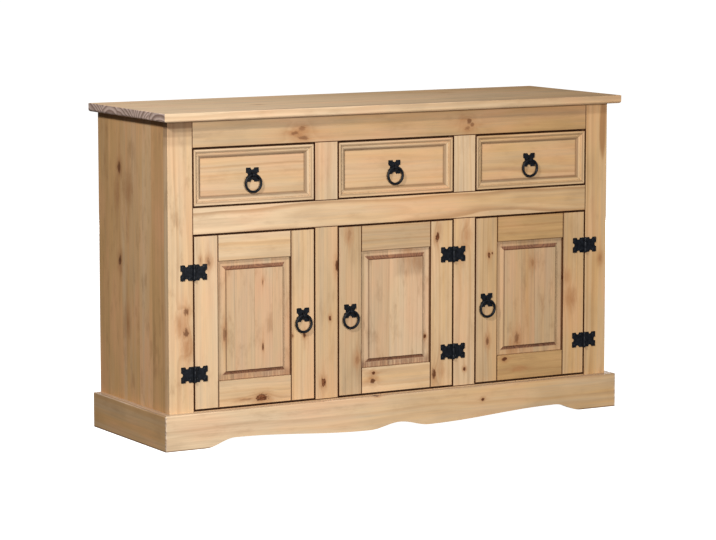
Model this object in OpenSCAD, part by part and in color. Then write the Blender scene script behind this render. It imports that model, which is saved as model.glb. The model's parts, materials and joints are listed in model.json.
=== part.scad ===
// Waxed pine sideboard with three drawers over three panelled doors.
// The middle of its footprint on the floor is the origin, the front faces -Y
// and +Z is up. All sizes are millimetres.

/* [Overall] */
// Width of the top board
width = 1320; // [1200:10:1500]
// Depth of the top board, from front edge to back edge
depth = 430; // [400:5:500]
// Height from the floor to the upper face of the top board
height = 820; // [780:5:900]

/* [Top board] */
// Thickness of the top board
top_t = 21; // [18:1:28]
// How far the top board reaches past each side of the body
side_overhang = 22; // [21:1:34]
// How far the top board reaches past the front of the body
front_overhang = 32; // [24:1:44]
// How far the top board reaches past the back of the body
back_overhang = 8; // [2:1:16]
// Radius of the round under the front edge and the ends
top_under_round = 6; // [3:0.5:9]
// Radius of the fine round on the upper edge
top_arris = 1.5; // [0.5:0.5:3]

/* [Face frame] */
// Width of the corner posts
post_w = 67; // [55:1:80]
// Thickness of posts, rails and mullions
frame_t = 22; // [18:1:28]
// Width of the mullions between the bays
mullion_w = 65.5; // [50:0.5:80]
// Height of the top rail under the top board
top_rail_w = 66.5; // [50:0.5:80]
// Clear height of the drawer openings
drawer_opening_h = 144; // [134:1:160]
// Height of the rail between drawers and doors
middle_rail_w = 67; // [60:1:80]
// Height of the bottom rail
bottom_rail_w = 50; // [40:1:60]
// Strip of the bottom rail that shows over the plinth
rail_show = 3; // [1:0.5:8]
// Radius of the round on the outer front edge of the posts
post_arris = 1.5; // [0.5:0.5:4]
// Thickness of the frame's tenons
tenon_t = 8; // [6:1:10]
// Length of the rails' tenons
tenon_l = 30; // [15:1:40]
// Length of the mullions' tenons
mullion_tenon_l = 15; // [8:1:18]
// Shoulder at each edge of a frame tenon
tenon_shoulder = 6; // [3:1:10]

/* [Carcass] */
// Thickness of the side panels
side_t = 18; // [16:1:22]
// Clearance between the floor and the posts and panels behind the plinth
foot_clear = 20; // [10:1:24]
// Thickness of the cupboard floor
floor_t = 15; // [12:1:20]
// Thickness of the dust panel over the cupboards
dust_t = 12; // [9:1:18]
// Thickness of the partitions behind the mullions
partition_t = 18; // [16:1:22]
// Depth of the housings that hold floor and dust panel in the sides
housing = 6; // [3:1:8]
// Depth of the grooves that hold the partitions
partition_groove = 5; // [2:1:7]
// Thickness of the cross rails inside the back
back_rail_t = 22; // [18:1:28]

/* [Back boards] */
// Thickness of the tongued and grooved back boards
back_t = 8; // [7:0.5:10]
// Width of the rebate in the side panels that takes the back boards
rebate_w = 9; // [6:1:11]
// Width that each back board is cut near to
back_board_w = 105; // [80:5:140]
// Thickness of the tongues
back_tongue_t = 3; // [2:0.5:3.5]
// Length of the tongues
back_tongue_l = 5; // [3:0.5:8]
// Size of the V between two boards
back_vee = 1.5; // [1:0.25:1.75]
// Gap between two boards
back_board_gap = 0.6; // [0.2:0.1:1.5]
// Room round a tongue in its groove
back_tongue_room = 0.1; // [0.05:0.05:0.3]

/* [Shelves] */
// Thickness of the shelves
shelf_t = 18; // [15:1:22]
// Clear height under the shelves
shelf_rise = 200; // [150:5:230]
// Distance from the face frame's back to the shelves' front edge
shelf_setback = 40; // [30:5:100]
// Gap round a shelf
shelf_gap = 1.5; // [0.5:0.5:3]
// Radius of the shelf pins
pin_r = 2.5; // [2:0.5:4]
// Length of a shelf pin inside the wall
pin_in = 7; // [5:0.5:8]
// Length of a shelf pin under the shelf
pin_out = 9; // [6:0.5:12]
// Distance from a shelf's front and back edge to its pins
pin_inset = 45; // [30:5:80]

/* [Plinth] */
// Height of the plinth
plinth_h = 88; // [80:1:100]
// Thickness of the plinth boards
plinth_t = 20; // [16:1:21]
// Length of the flat foot at each end of the front board
foot_w = 108; // [90:1:160]
// Length of the curve that rises from a foot
crest_run = 81; // [50:1:120]
// Height of the curve's crest beside a foot
crest_rise = 20.5; // [10:1:30]
// Height of the low point beside the middle arch
dip_rise = 3; // [1:0.5:6]
// Half the width of the middle arch
arch_half = 87; // [60:1:130]
// Height of the middle arch
arch_rise = 17; // [8:1:28]
// Radius of the round on the plinth's upper edge
plinth_round = 3; // [1:0.5:5]

/* [Doors] */
// Thickness of the door frames
door_t = 20; // [18:1:22]
// Gap at each side of a door
door_side_gap = 2; // [1.5:0.5:3]
// Gap over and under a door
door_end_gap = 2.5; // [1.5:0.5:4]
// Width of the door stiles
stile_w = 65.5; // [55:0.5:80]
// Width of the door rails
door_rail_w = 65; // [50:1:80]
// Length of the door rails' tenons
door_tenon_l = 30; // [20:1:45]
// Shoulder between a door tenon and the door's edge
door_tenon_shoulder = 12; // [8:1:20]
// Radius of the round on the front edges of doors
door_arris = 1; // [0.5:0.25:2]

/* [Door panels] */
// Depth of the panel's flat margin behind the door's face
margin_set = 7.5; // [6:0.5:9]
// Depth of the raised field behind the door's face
field_set = 1; // [0.5:0.5:2]
// Width of the flat margin that shows
margin_w = 11.5; // [8:0.5:16]
// Width of the cove between the margin and the field
cove_w = 11; // [7:0.5:14]
// Thickness of the panel's tongue
tongue_t = 6; // [4:0.5:8]
// Depth of the groove round the door frame
groove_d = 9; // [6:0.5:12]
// Room for the panel to swell at each edge
panel_slack = 0.8; // [0.5:0.1:1.5]

/* [Drawers] */
// Gap at each side of a drawer
drawer_side_gap = 2; // [1:0.5:3]
// Gap under a drawer front
drawer_gap = 2; // [1:0.5:3]
// Gap over a drawer front
drawer_head_gap = 3; // [1.5:0.5:5]
// Thickness of the drawer fronts, moulding included
drawer_front_t = 23; // [22:0.5:28]
// Length of a drawer from its face to its back end
drawer_l = 343; // [300:1:350]
// Thickness of the drawer sides and backs
drawer_side_t = 12; // [10:1:15]
// Height of the drawer sides
drawer_side_h = 126; // [100:1:128]
// Thickness of the drawer bottoms
drawer_bottom_t = 6; // [4:0.5:8]
// Height of the bottom groove over the drawer's lower edge
bottom_up = 8; // [6:1:12]
// Depth of the grooves that hold bottom and back
drawer_groove = 5; // [3:0.5:6]
// Distance of the back board from the rear ends of the sides
back_inset = 8; // [4:1:14]
// How much lower the back board is than the sides
back_drop = 6; // [2:1:12]
// Glue line round the back board's ends
glue_line = 0.1; // [0.05:0.05:0.2]
// Running gap between a drawer and its runners
slide_gap = 0.3; // [0.2:0.1:0.5]

/* [Drawer dovetails] */
// Number of tails on each front corner
tail_count = 3; // [2:1:4]
// Length of the tails
tail_l = 9; // [6:0.5:10]
// Width of a tail at its shoulder
tail_w = 24; // [14:1:26]
// Widening of a tail at each side of its end
tail_flare = 1.8; // [1:0.2:2.4]

/* [Drawer moulding] */
// Width of the moulding mitred round a drawer front
moulding_w = 22; // [16:1:28]
// Height of the moulding over the drawer's field
moulding_h = 11; // [6:0.5:12]
// Width of the moulding's rim, the flat with the small slope outside it
rim_w = 5; // [3:0.5:8]
// Size of the small slope on the rim's outer edge
rim_slope = 1; // [0.5:0.25:2]
// Distance from the moulding's outer edge to the valley between rim and bead
valley_w = 11; // [9:0.5:14]
// Height of the valley over the drawer's field
valley_h = 6; // [3:0.25:8]
// How far the bead swells over the line from the valley to the lip
bead_swell = 1.8; // [0.5:0.1:2.5]
// Height of the moulding's inner edge
lip_h = 1.5; // [1:0.25:2.5]
// Shortening of the upper and lower lengths, which opens a fine line at the mitres
mitre_line = 0.2; // [0.1:0.1:0.5]

/* [Drawer runners] */
// Thickness of the runners' flanges
runner_t = 25; // [18:1:30]
// How far a flange reaches under a drawer
runner_lip = 16; // [13:1:24]
// Height of the guide between two drawers, over the flange
guide_h = 30; // [20:1:50]
// Thickness of the kickers over the drawers
kicker_t = 25; // [18:1:30]

/* [Hinges] */
// Length of a hinge leaf from the pin's axis
leaf_w = 36; // [30:0.5:42]
// Height of a hinge
leaf_h = 39; // [32:1:46]
// Thickness of the leaves
leaf_t = 2; // [1.5:0.25:2.5]
// Radius of the round notches in the leaves
leaf_notch_r = 5; // [3:0.5:6]
// Distance from the pin's axis to the notches over and under it
leaf_notch_u = 19.5; // [16:0.5:23]
// Radius of the knuckles
knuckle_r = 4; // [3.5:0.25:4.5]
// Gap between the knuckles' round and the wood
knuckle_clear = 0.5; // [0.4:0.1:1]
// Gap between a knuckle and the inner edge of the other leaf
leaf_gap = 0.3; // [0.2:0.05:0.5]
// Radius of the round on the leaves' corners
leaf_corner_r = 1.5; // [0.5:0.25:2.5]
// Height of the middle knuckle
mid_knuckle_h = 17; // [12:1:20]
// Gap between two knuckles
knuckle_gap = 0.3; // [0.2:0.05:0.5]
// Radius of the hinge pins
hinge_pin_r = 1.6; // [1.25:0.05:2]
// Running clearance round a hinge pin
pin_clear = 0.06; // [0.03:0.01:0.1]
// How far the head of a hinge pin stands out over the pin, and the head's height
pin_head = 1; // [0.5:0.1:1.5]
// Distance from a door's end to the middle of its hinge
hinge_inset = 88; // [70:1:110]

/* [Ring pulls] */
// Size of the lobed backplate
plate_size = 35; // [30:1:40]
// Thickness of the backplate
plate_t = 2.5; // [2:0.25:4]
// Radius of the round notches in the backplate
plate_notch_r = 5; // [3.5:0.5:6]
// Width of the step round the backplate's edge
plate_step = 1; // [0.5:0.25:1.5]
// Radius of the round on the backplate's corners
plate_corner_r = 1.5; // [0.5:0.25:2.5]
// Radius of the ring at the middle of its wire
ring_r = 21; // [17:0.5:23]
// Radius of the ring's wire
wire_r = 3.2; // [2.4:0.1:3.4]
// Gap between a hanging ring and its backplate
ring_clear = 1.2; // [1:0.1:2]
// Width of the eye that holds the ring
eye_l = 8; // [6:0.5:10]
// Wall of the eye
eye_wall = 2; // [1.5:0.25:3]
// Least gap between wire and eye
eye_clear = 0.35; // [0.25:0.05:0.6]

/* [Door catches] */
// Width of a magnetic catch
catch_w = 40; // [30:1:50]
// Depth of a catch from front to back
catch_d = 15; // [12:1:20]
// Height of a catch
catch_h = 13; // [10:1:16]
// Gap between a catch and the back of a closed door
catch_gap = 1.5; // [1:0.25:3]

/* [Hidden] */

$fn = 48;
// How far a cutting shape reaches past the face that it opens
over = 1;
// Steps in each curve of an outline
curve_steps = 12;
pine = "#dcb384";
pine_light = "#e6c596";
iron = "#202022";
steel = "#9a9a98";

// Planes of the body
body_x = width / 2 - side_overhang;
side_in_x = body_x - side_t;
post_in_x = body_x - post_w;
front_y = front_overhang - depth / 2;
frame_back_y = front_y + frame_t;
back_y = depth / 2 - back_overhang;
panel_back_y = back_y - back_t;
under_top_z = height - top_t;

// Openings of the face frame
top_rail_z = under_top_z - top_rail_w;
drawer_z = top_rail_z - drawer_opening_h;
middle_rail_z = drawer_z - middle_rail_w;
floor_z = plinth_h + rail_show;
opening_w = (2 * post_in_x - 2 * mullion_w) / 3;
mullion_x = (opening_w + mullion_w) / 2;
bay_x = [-opening_w - mullion_w, 0, opening_w + mullion_w];
LEFT = 0;
MIDDLE = 1;
RIGHT = 2;
frame_rails = [
    [bottom_rail_low(), floor_z],
    [middle_rail_z, drawer_z],
    [top_rail_z, under_top_z],
];
tenon_y = front_y + (frame_t - tenon_t) / 2;

// Inside of the carcass
partition_half = partition_t / 2;
bay_walls = [
    [-side_in_x, -mullion_x - partition_half],
    [-mullion_x + partition_half, mullion_x - partition_half],
    [mullion_x + partition_half, side_in_x],
];
shelf_front_y = frame_back_y + shelf_setback;
shelf_back_y = panel_back_y - shelf_gap;
shelf_z = floor_z + shelf_rise;
back_rail_y = panel_back_y - back_rail_t;

// Plinth
plinth_x = body_x + plinth_t;
foot_in = plinth_x - foot_w;
crest_x = foot_in - crest_run;

// Doors
door_half = opening_w / 2 - door_side_gap;
stile_in = door_half - stile_w;
door_z0 = floor_z + door_end_gap;
door_z1 = middle_rail_z - door_end_gap;
door_back_y = front_y + door_t;
panel_z0 = door_z0 + door_rail_w;
panel_z1 = door_z1 - door_rail_w;
groove_y0 = front_y + margin_set;
groove_y1 = groove_y0 + tongue_t;
field_y = front_y + field_set;
tongue_x = stile_in + groove_d - panel_slack;
tongue_z0 = panel_z0 - groove_d + panel_slack;
tongue_z1 = panel_z1 + groove_d - panel_slack;
// Which side of each door carries its hinges: -1 left, 1 right
hinge_side = [-1, 1, 1];

// Drawers
drawer_half = opening_w / 2 - drawer_side_gap;
drawer_z0 = drawer_z + drawer_gap;
drawer_z1 = top_rail_z - drawer_head_gap;
drawer_face_y = front_y + moulding_h;
drawer_front_back_y = front_y + drawer_front_t;
drawer_back_y = front_y + drawer_l;
drawer_in = drawer_half - drawer_side_t;
bottom_z = drawer_z0 + bottom_up;
runner_z = drawer_z0 - slide_gap;

// Hinges
pin_out_y = front_y - knuckle_r - knuckle_clear;
// The leaves reach in under the knuckles' round, to leaf_gap from it
leaf_in = sqrt(pow(knuckle_r + leaf_gap, 2) - pow(knuckle_r + knuckle_clear - leaf_t, 2));
hinge_z = [door_z0 + hinge_inset, door_z1 - hinge_inset];

// Ring pulls
ring_stand = plate_t + ring_clear + wire_r;
eye_hole_r = wire_r + ring_r - sqrt(ring_r * ring_r - eye_l * eye_l / 4) + eye_clear;

function bottom_rail_low() = floor_z - bottom_rail_w;

// A smooth step from a to b while t goes from 0 to 1
function ease(a, b, t) = a + (b - a) * (1 - cos(180 * t)) / 2;

// Where the axis of a door's hinge pins stands
function pin_x(bay) = bay_x[bay] + hinge_side[bay] * (opening_w - door_side_gap) / 2;

// Where a door's ring pull stands, in the middle of the stile that swings
function door_pull_x(bay) = bay_x[bay] - hinge_side[bay] * (door_half - stile_w / 2);

// A block between two opposite corners
module block(low, high) {
    translate(low) cube(high - low);
}

// Carries a profile drawn in Y and Z along X
module along_x(x0, x1) {
    translate([x0, 0, 0]) rotate([90, 0, 90]) linear_extrude(x1 - x0) children();
}

// Carries a profile drawn in X and Z along Y
module along_y(y0, y1) {
    translate([0, y1, 0]) rotate([90, 0, 0]) linear_extrude(y1 - y0) children();
}

// Carries a profile drawn in X and Y along Z
module along_z(z0, z1) {
    translate([0, 0, z0]) linear_extrude(z1 - z0) children();
}

// What comes off a square corner at the origin to leave it round. The wood lies
// towards sx and sy.
module corner_waste(r, sx, sy) {
    difference() {
        translate([sx * (r - over) / 2, sy * (r - over) / 2]) square(r + over, center = true);
        translate([sx * r, sy * r]) circle(r);
    }
}

// What comes off the four front edges of a door or drawer
module front_edge_waste(half, z0, z1, r) {
    for (s = [-1, 1]) {
        along_z(z0 - over, z1 + over) translate([s * half, front_y]) corner_waste(r, -s, 1);
    }
    along_x(-half - over, half + over) translate([front_y, z0]) corner_waste(r, 1, 1);
    along_x(-half - over, half + over) translate([front_y, z1]) corner_waste(r, 1, -1);
}

// The top board. Its front edge and ends have a wide round below and a fine one above.
module top_panel() {
    color(pine)
    difference() {
        block([-width / 2, -depth / 2, under_top_z], [width / 2, depth / 2, height]);
        for (edge = [[top_under_round, under_top_z, 1], [top_arris, height, -1]]) {
            along_x(-width / 2 - over, width / 2 + over)
                translate([-depth / 2, edge[1]]) corner_waste(edge[0], 1, edge[2]);
            for (s = [-1, 1]) {
                along_y(-depth / 2 - over, depth / 2 + over)
                    translate([s * width / 2, edge[1]]) corner_waste(edge[0], -s, edge[2]);
            }
        }
    }
}

// The tenon on one end of a frame rail, which is also the mortise in its post
module rail_tenon(s, rail) {
    x0 = s > 0 ? post_in_x : -post_in_x - tenon_l;
    block([x0, tenon_y, rail[0] + tenon_shoulder],
          [x0 + tenon_l, tenon_y + tenon_t, rail[1] - tenon_shoulder]);
}

// The tenons of the two mullions that stand between z0 and z1
module mullion_tenons(z0, z1) {
    for (s = [-1, 1]) {
        for (z = [z0 - mullion_tenon_l, z1]) {
            block([s * mullion_x - mullion_w / 2 + tenon_shoulder, tenon_y, z],
                  [s * mullion_x + mullion_w / 2 - tenon_shoulder, tenon_y + tenon_t,
                   z + mullion_tenon_l]);
        }
    }
}

// A rail between the posts, mortised for the mullions
module frame_rail(rail) {
    difference() {
        union() {
            block([-post_in_x, front_y, rail[0]], [post_in_x, frame_back_y, rail[1]]);
            rail_tenon(-1, rail);
            rail_tenon(1, rail);
        }
        mullion_tenons(floor_z, middle_rail_z);
        mullion_tenons(drawer_z, top_rail_z);
    }
}

module top_rail() {
    color(pine) frame_rail(frame_rails[2]);
}

module middle_rail() {
    color(pine) frame_rail(frame_rails[1]);
}

module bottom_rail() {
    color(pine) frame_rail(frame_rails[0]);
}

// A corner post, at the left for s = -1 and at the right for s = 1
module post(s) {
    difference() {
        block([s > 0 ? post_in_x : -body_x, front_y, foot_clear],
              [s > 0 ? body_x : -post_in_x, frame_back_y, under_top_z]);
        for (rail = frame_rails) {
            rail_tenon(s, rail);
        }
        along_z(foot_clear - over, under_top_z + over)
            translate([s * body_x, front_y]) corner_waste(post_arris, -s, 1);
    }
}

module left_post() {
    color(pine) post(-1);
}

module right_post() {
    color(pine) post(1);
}

// Short mullions between the drawers and long ones between the doors
module mullions() {
    color(pine)
    for (s = [-1, 1]) {
        for (span = [[floor_z, middle_rail_z], [drawer_z, top_rail_z]]) {
            block([s * mullion_x - mullion_w / 2, front_y, span[0]],
                  [s * mullion_x + mullion_w / 2, frame_back_y, span[1]]);
        }
    }
    color(pine) mullion_tenons(floor_z, middle_rail_z);
    color(pine) mullion_tenons(drawer_z, top_rail_z);
}

// The shelf pins of all three bays, two in each wall of a bay
module pins() {
    for (wall = bay_walls) {
        for (y = [shelf_front_y + pin_inset, shelf_back_y - pin_inset]) {
            translate([wall[0] - pin_in, y, shelf_z - pin_r])
                rotate([0, 90, 0]) cylinder(h = pin_in + pin_out, r = pin_r);
            translate([wall[1] - pin_out, y, shelf_z - pin_r])
                rotate([0, 90, 0]) cylinder(h = pin_in + pin_out, r = pin_r);
        }
    }
}

module shelf_pins() {
    color(steel) pins();
}

// The cupboard floor without its grooves
module floor_board() {
    block([-side_in_x - housing, frame_back_y, floor_z - floor_t],
          [side_in_x + housing, panel_back_y, floor_z]);
}

// The dust panel without its grooves
module dust_board() {
    block([-side_in_x - housing, frame_back_y, middle_rail_z],
          [side_in_x + housing, panel_back_y, middle_rail_z + dust_t]);
}

// The two upright boards behind the door mullions, without their pin holes
module partition_boards() {
    for (s = [-1, 1]) {
        block([s * mullion_x - partition_half, frame_back_y, floor_z - partition_groove],
              [s * mullion_x + partition_half, panel_back_y, middle_rail_z + partition_groove]);
    }
}

// The right side panel, rebated for the back boards and housed for floor and dust panel
module side_board() {
    difference() {
        block([side_in_x, frame_back_y, foot_clear], [body_x, back_y, under_top_z]);
        block([side_in_x - over, panel_back_y, foot_clear - over],
              [side_in_x + rebate_w, back_y + over, under_top_z + over]);
        floor_board();
        dust_board();
        pins();
    }
}

module right_side_panel() {
    color(pine) side_board();
}

module left_side_panel() {
    color(pine) mirror([1, 0, 0]) side_board();
}

module cupboard_floor() {
    color(pine_light) difference() {
        floor_board();
        partition_boards();
    }
}

module dust_panel() {
    color(pine_light) difference() {
        dust_board();
        partition_boards();
    }
}

module partitions() {
    color(pine_light) difference() {
        partition_boards();
        pins();
    }
}

// One shelf in each bay, lying on its pins
module shelves() {
    color(pine_light)
    for (wall = bay_walls) {
        block([wall[0] + shelf_gap, shelf_front_y, shelf_z],
              [wall[1] - shelf_gap, shelf_back_y, shelf_z + shelf_t]);
    }
}

// A runner from the face frame to the back rail: a flange from x0 to x1 that the
// drawers slide on, and a guide from g0 to g1 that keeps them straight
module runner(x0, x1, g0, g1) {
    block([x0, frame_back_y, runner_z - runner_t], [x1, back_rail_y, runner_z]);
    block([g0, frame_back_y, runner_z - runner_t], [g1, back_rail_y, runner_z + guide_h]);
}

module drawer_runners() {
    lip_x = post_in_x - runner_lip;
    color(pine_light)
    for (s = [-1, 1]) {
        runner(s * mullion_x - mullion_w / 2 - runner_lip, s * mullion_x + mullion_w / 2 + runner_lip,
               s * mullion_x - mullion_w / 2, s * mullion_x + mullion_w / 2);
        runner(s > 0 ? lip_x : -side_in_x, s > 0 ? side_in_x : -lip_x,
               s > 0 ? post_in_x : -side_in_x, s > 0 ? side_in_x : -post_in_x);
    }
}

// Battens over the drawers that stop them from tipping when they are pulled out
module drawer_kickers() {
    lip_x = post_in_x - runner_lip;
    color(pine_light)
    for (s = [-1, 1]) {
        block([s * mullion_x - mullion_w / 2 - runner_lip, frame_back_y, top_rail_z],
              [s * mullion_x + mullion_w / 2 + runner_lip, back_rail_y, top_rail_z + kicker_t]);
        block([s > 0 ? lip_x : -side_in_x, frame_back_y, top_rail_z],
              [s > 0 ? side_in_x : -lip_x, back_rail_y, top_rail_z + kicker_t]);
    }
}

// Cross rails in front of the back boards: under the floor, behind the drawers and
// under the top
module back_rails() {
    color(pine_light)
    for (span = [[foot_clear, floor_z - floor_t], [middle_rail_z + dust_t, drawer_z],
                 [top_rail_z, under_top_z]]) {
        block([-side_in_x, back_rail_y, span[0]], [side_in_x, panel_back_y, span[1]]);
    }
}

// Upright boards that close the back. Each has a tongue that lies in its neighbour's
// groove and a V along the joint, inside and outside.
module back_boards() {
    span = 2 * (side_in_x + rebate_w);
    count = round(span / back_board_w);
    pitch = (span + back_board_gap) / count;
    board = pitch - back_board_gap;
    groove_t = back_tongue_t + 2 * back_tongue_room;
    mid_y = panel_back_y + back_t / 2;
    color(pine_light)
    for (i = [0:count - 1]) {
        x0 = -span / 2 + i * pitch;
        along_z(foot_clear, under_top_z)
        difference() {
            union() {
                translate([x0, panel_back_y]) square([board, back_t]);
                if (i < count - 1) {
                    translate([x0 + board - over, mid_y - back_tongue_t / 2])
                        square([back_tongue_l + over, back_tongue_t]);
                }
            }
            if (i > 0) {
                translate([x0 - over, mid_y - groove_t / 2]) square([back_tongue_l + over, groove_t]);
            }
            for (x = [i > 0 ? x0 : undef, i < count - 1 ? x0 + board : undef]) {
                if (!is_undef(x)) {
                    for (y = [panel_back_y, back_y]) {
                        translate([x, y]) circle(back_vee, $fn = 4);
                    }
                }
            }
        }
    }
}

// Height of the plinth's lower edge at the distance x from the middle: a flat foot, a
// curve up to a crest, a long slope down to a dip and a low arch in the middle
function plinth_edge(x) =
    x >= foot_in ? 0 :
    x >= crest_x ? ease(crest_rise, 0, (x - crest_x) / crest_run) :
    x >= arch_half ? ease(dip_rise, crest_rise, (x - arch_half) / (crest_x - arch_half)) :
    ease(arch_rise, dip_rise, x / arch_half);

// The front plinth board seen from the front
module plinth_outline() {
    half = concat(
        [for (i = [0:curve_steps]) foot_in - crest_run * i / curve_steps],
        [for (i = [1:curve_steps - 1]) crest_x - (crest_x - arch_half) * i / curve_steps],
        [for (i = [0:curve_steps]) arch_half * (1 - i / curve_steps)]);
    last = len(half) - 1;
    polygon(concat(
        [[plinth_x, plinth_h], [plinth_x, 0]],
        [for (x = half) [x, plinth_edge(x)]],
        [for (i = [last - 1:-1:0]) [-half[i], plinth_edge(half[i])]],
        [[-plinth_x, 0], [-plinth_x, plinth_h]]));
}

module plinth_front() {
    color(pine)
    difference() {
        intersection() {
            along_y(front_y - plinth_t - over, front_y + over) plinth_outline();
            along_z(-over, plinth_h + over)
                polygon([[-plinth_x, front_y - plinth_t], [plinth_x, front_y - plinth_t],
                         [body_x, front_y], [-body_x, front_y]]);
        }
        along_x(-plinth_x - over, plinth_x + over)
            translate([front_y - plinth_t, plinth_h]) corner_waste(plinth_round, 1, -1);
    }
}

// The side plinth boards, mitred to the front one and running to the back
module plinth_sides() {
    color(pine)
    for (s = [-1, 1]) {
        difference() {
            along_z(0, plinth_h)
                polygon([[s * body_x, front_y], [s * plinth_x, front_y - plinth_t],
                         [s * plinth_x, back_y], [s * body_x, back_y]]);
            along_y(front_y - plinth_t - over, back_y + over)
                translate([s * plinth_x, plinth_h]) corner_waste(plinth_round, -s, -1);
        }
    }
}

// The tenon on one end of a door rail with the haunch that fills the stile's groove.
// In the lower rail the inner edge is high, so up = 1, and in the upper one up = -1.
module door_tenon(s, up) {
    outer = up > 0 ? door_z0 : door_z1;
    inner = outer + up * (door_rail_w - groove_d);
    shoulder = outer + up * door_tenon_shoulder;
    x_haunch = s > 0 ? stile_in : -stile_in - groove_d;
    x_tenon = s > 0 ? stile_in : -stile_in - door_tenon_l;
    block([x_haunch, groove_y0, min(outer, inner)],
          [x_haunch + groove_d, groove_y1, max(outer, inner)]);
    block([x_tenon, groove_y0, min(shoulder, inner)],
          [x_tenon + door_tenon_l, groove_y1, max(shoulder, inner)]);
}

module door_stiles() {
    color(pine)
    for (s = [-1, 1]) {
        difference() {
            block([s > 0 ? stile_in : -door_half, front_y, door_z0],
                  [s > 0 ? door_half : -stile_in, door_back_y, door_z1]);
            block([s > 0 ? stile_in - over : -stile_in - groove_d, groove_y0, door_z0 - over],
                  [s > 0 ? stile_in + groove_d : -stile_in + over, groove_y1, door_z1 + over]);
            door_tenon(s, 1);
            door_tenon(s, -1);
            front_edge_waste(door_half, door_z0, door_z1, door_arris);
        }
    }
}

module door_rails() {
    color(pine)
    for (up = [1, -1]) {
        outer = up > 0 ? door_z0 : door_z1;
        inner = outer + up * door_rail_w;
        difference() {
            union() {
                block([-stile_in, front_y, min(outer, inner)],
                      [stile_in, door_back_y, max(outer, inner)]);
                door_tenon(-1, up);
                door_tenon(1, up);
            }
            block([-stile_in - over, groove_y0, min(inner - up * groove_d, inner + up * over)],
                  [stile_in + over, groove_y1, max(inner - up * groove_d, inner + up * over)]);
            front_edge_waste(door_half, door_z0, door_z1, door_arris);
        }
    }
}

// What is planed off one edge of a door panel: a flat margin, then a cove that is a
// quarter of an ellipse, steep at the field's edge. The panel's edge is at the origin and
// the panel lies towards s along the first axis.
module margin_waste(s) {
    margin_end = groove_d - panel_slack + margin_w;
    depth_cut = groove_y0 - field_y;
    polygon(concat(
        [[-s * over, field_y - over], [-s * over, groove_y0]],
        [for (i = [0:curve_steps])
            [s * (margin_end + cove_w * sin(90 * i / curve_steps)),
             field_y + depth_cut * cos(90 * i / curve_steps)]],
        [[s * (margin_end + cove_w), field_y - over]]));
}

// The raised and fielded panel, loose in the grooves of its frame
module door_panel() {
    color(pine)
    difference() {
        block([-tongue_x, field_y, tongue_z0], [tongue_x, groove_y1, tongue_z1]);
        for (s = [-1, 1]) {
            along_z(tongue_z0 - over, tongue_z1 + over) translate([-s * tongue_x, 0]) margin_waste(s);
        }
        along_x(-tongue_x - over, tongue_x + over)
            translate([0, tongue_z0]) mirror([1, -1]) margin_waste(1);
        along_x(-tongue_x - over, tongue_x + over)
            translate([0, tongue_z1]) mirror([1, -1]) margin_waste(-1);
    }
}

// A hinge leaf seen from the front, reaching from its inner edge towards s, with a
// round notch over, under and beside it
module leaf_outline(s) {
    difference() {
        translate([s > 0 ? leaf_in : -leaf_w, -leaf_h / 2]) square([leaf_w - leaf_in, leaf_h]);
        for (v = [-1, 1]) {
            translate([s * leaf_notch_u, v * leaf_h / 2]) circle(leaf_notch_r);
            translate([s * leaf_w, v * leaf_h / 2]) corner_waste(leaf_corner_r, -s, -v);
        }
        translate([s * leaf_w, 0]) circle(leaf_notch_r);
    }
}

// A knuckle between z0 and z1 round the pin's axis with the strap that joins it to its
// leaf, bored to the radius bore
module knuckle(s, z0, z1, bore) {
    difference() {
        union() {
            translate([0, pin_out_y, z0]) cylinder(h = z1 - z0, r = knuckle_r);
            block([s > 0 ? 0 : -leaf_in - over, front_y - leaf_t, z0],
                  [s > 0 ? leaf_in + over : 0, front_y, z1]);
        }
        translate([0, pin_out_y, z0 - over]) cylinder(h = z1 - z0 + 2 * over, r = bore);
    }
}

// The leaf on the face frame, with the two outer knuckles
module frame_leaf(s) {
    inner = mid_knuckle_h / 2 + knuckle_gap;
    along_y(front_y - leaf_t, front_y) leaf_outline(s);
    knuckle(s, -leaf_h / 2, -inner, hinge_pin_r);
    knuckle(s, inner, leaf_h / 2, hinge_pin_r);
}

// The leaf on the door, with the middle knuckle
module door_leaf(s) {
    along_y(front_y - leaf_t, front_y) leaf_outline(s);
    knuckle(s, -mid_knuckle_h / 2, mid_knuckle_h / 2, hinge_pin_r + pin_clear);
}

module hinge_frame_leaves() {
    color(iron)
    for (bay = [LEFT:RIGHT]) {
        for (z = hinge_z) {
            translate([pin_x(bay), 0, z]) frame_leaf(hinge_side[bay]);
        }
    }
}

// Pins with a flat head over and under the knuckles
module hinge_pins() {
    color(iron)
    for (bay = [LEFT:RIGHT]) {
        for (z = hinge_z) {
            translate([pin_x(bay), pin_out_y, z]) {
                cylinder(h = leaf_h + 2 * pin_head, r = hinge_pin_r, center = true);
                for (s = [-1, 1]) {
                    translate([0, 0, s * (leaf_h + pin_head) / 2])
                        cylinder(h = pin_head, r = hinge_pin_r + pin_head, center = true);
                }
            }
        }
    }
}

module door_leaves(bay) {
    color(iron)
    for (z = hinge_z) {
        translate([pin_x(bay), 0, z]) door_leaf(-hinge_side[bay]);
    }
}

// The lobed backplate seen from the front: a square with a round notch in each side
module plate_outline(size, notch) {
    difference() {
        square(size, center = true);
        for (s = [-1, 1]) {
            translate([s * plate_size / 2, 0]) circle(notch);
            translate([0, s * plate_size / 2]) circle(notch);
            for (v = [-1, 1]) {
                translate([s * size / 2, v * size / 2]) corner_waste(plate_corner_r, -s, -v);
            }
        }
    }
}

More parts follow.
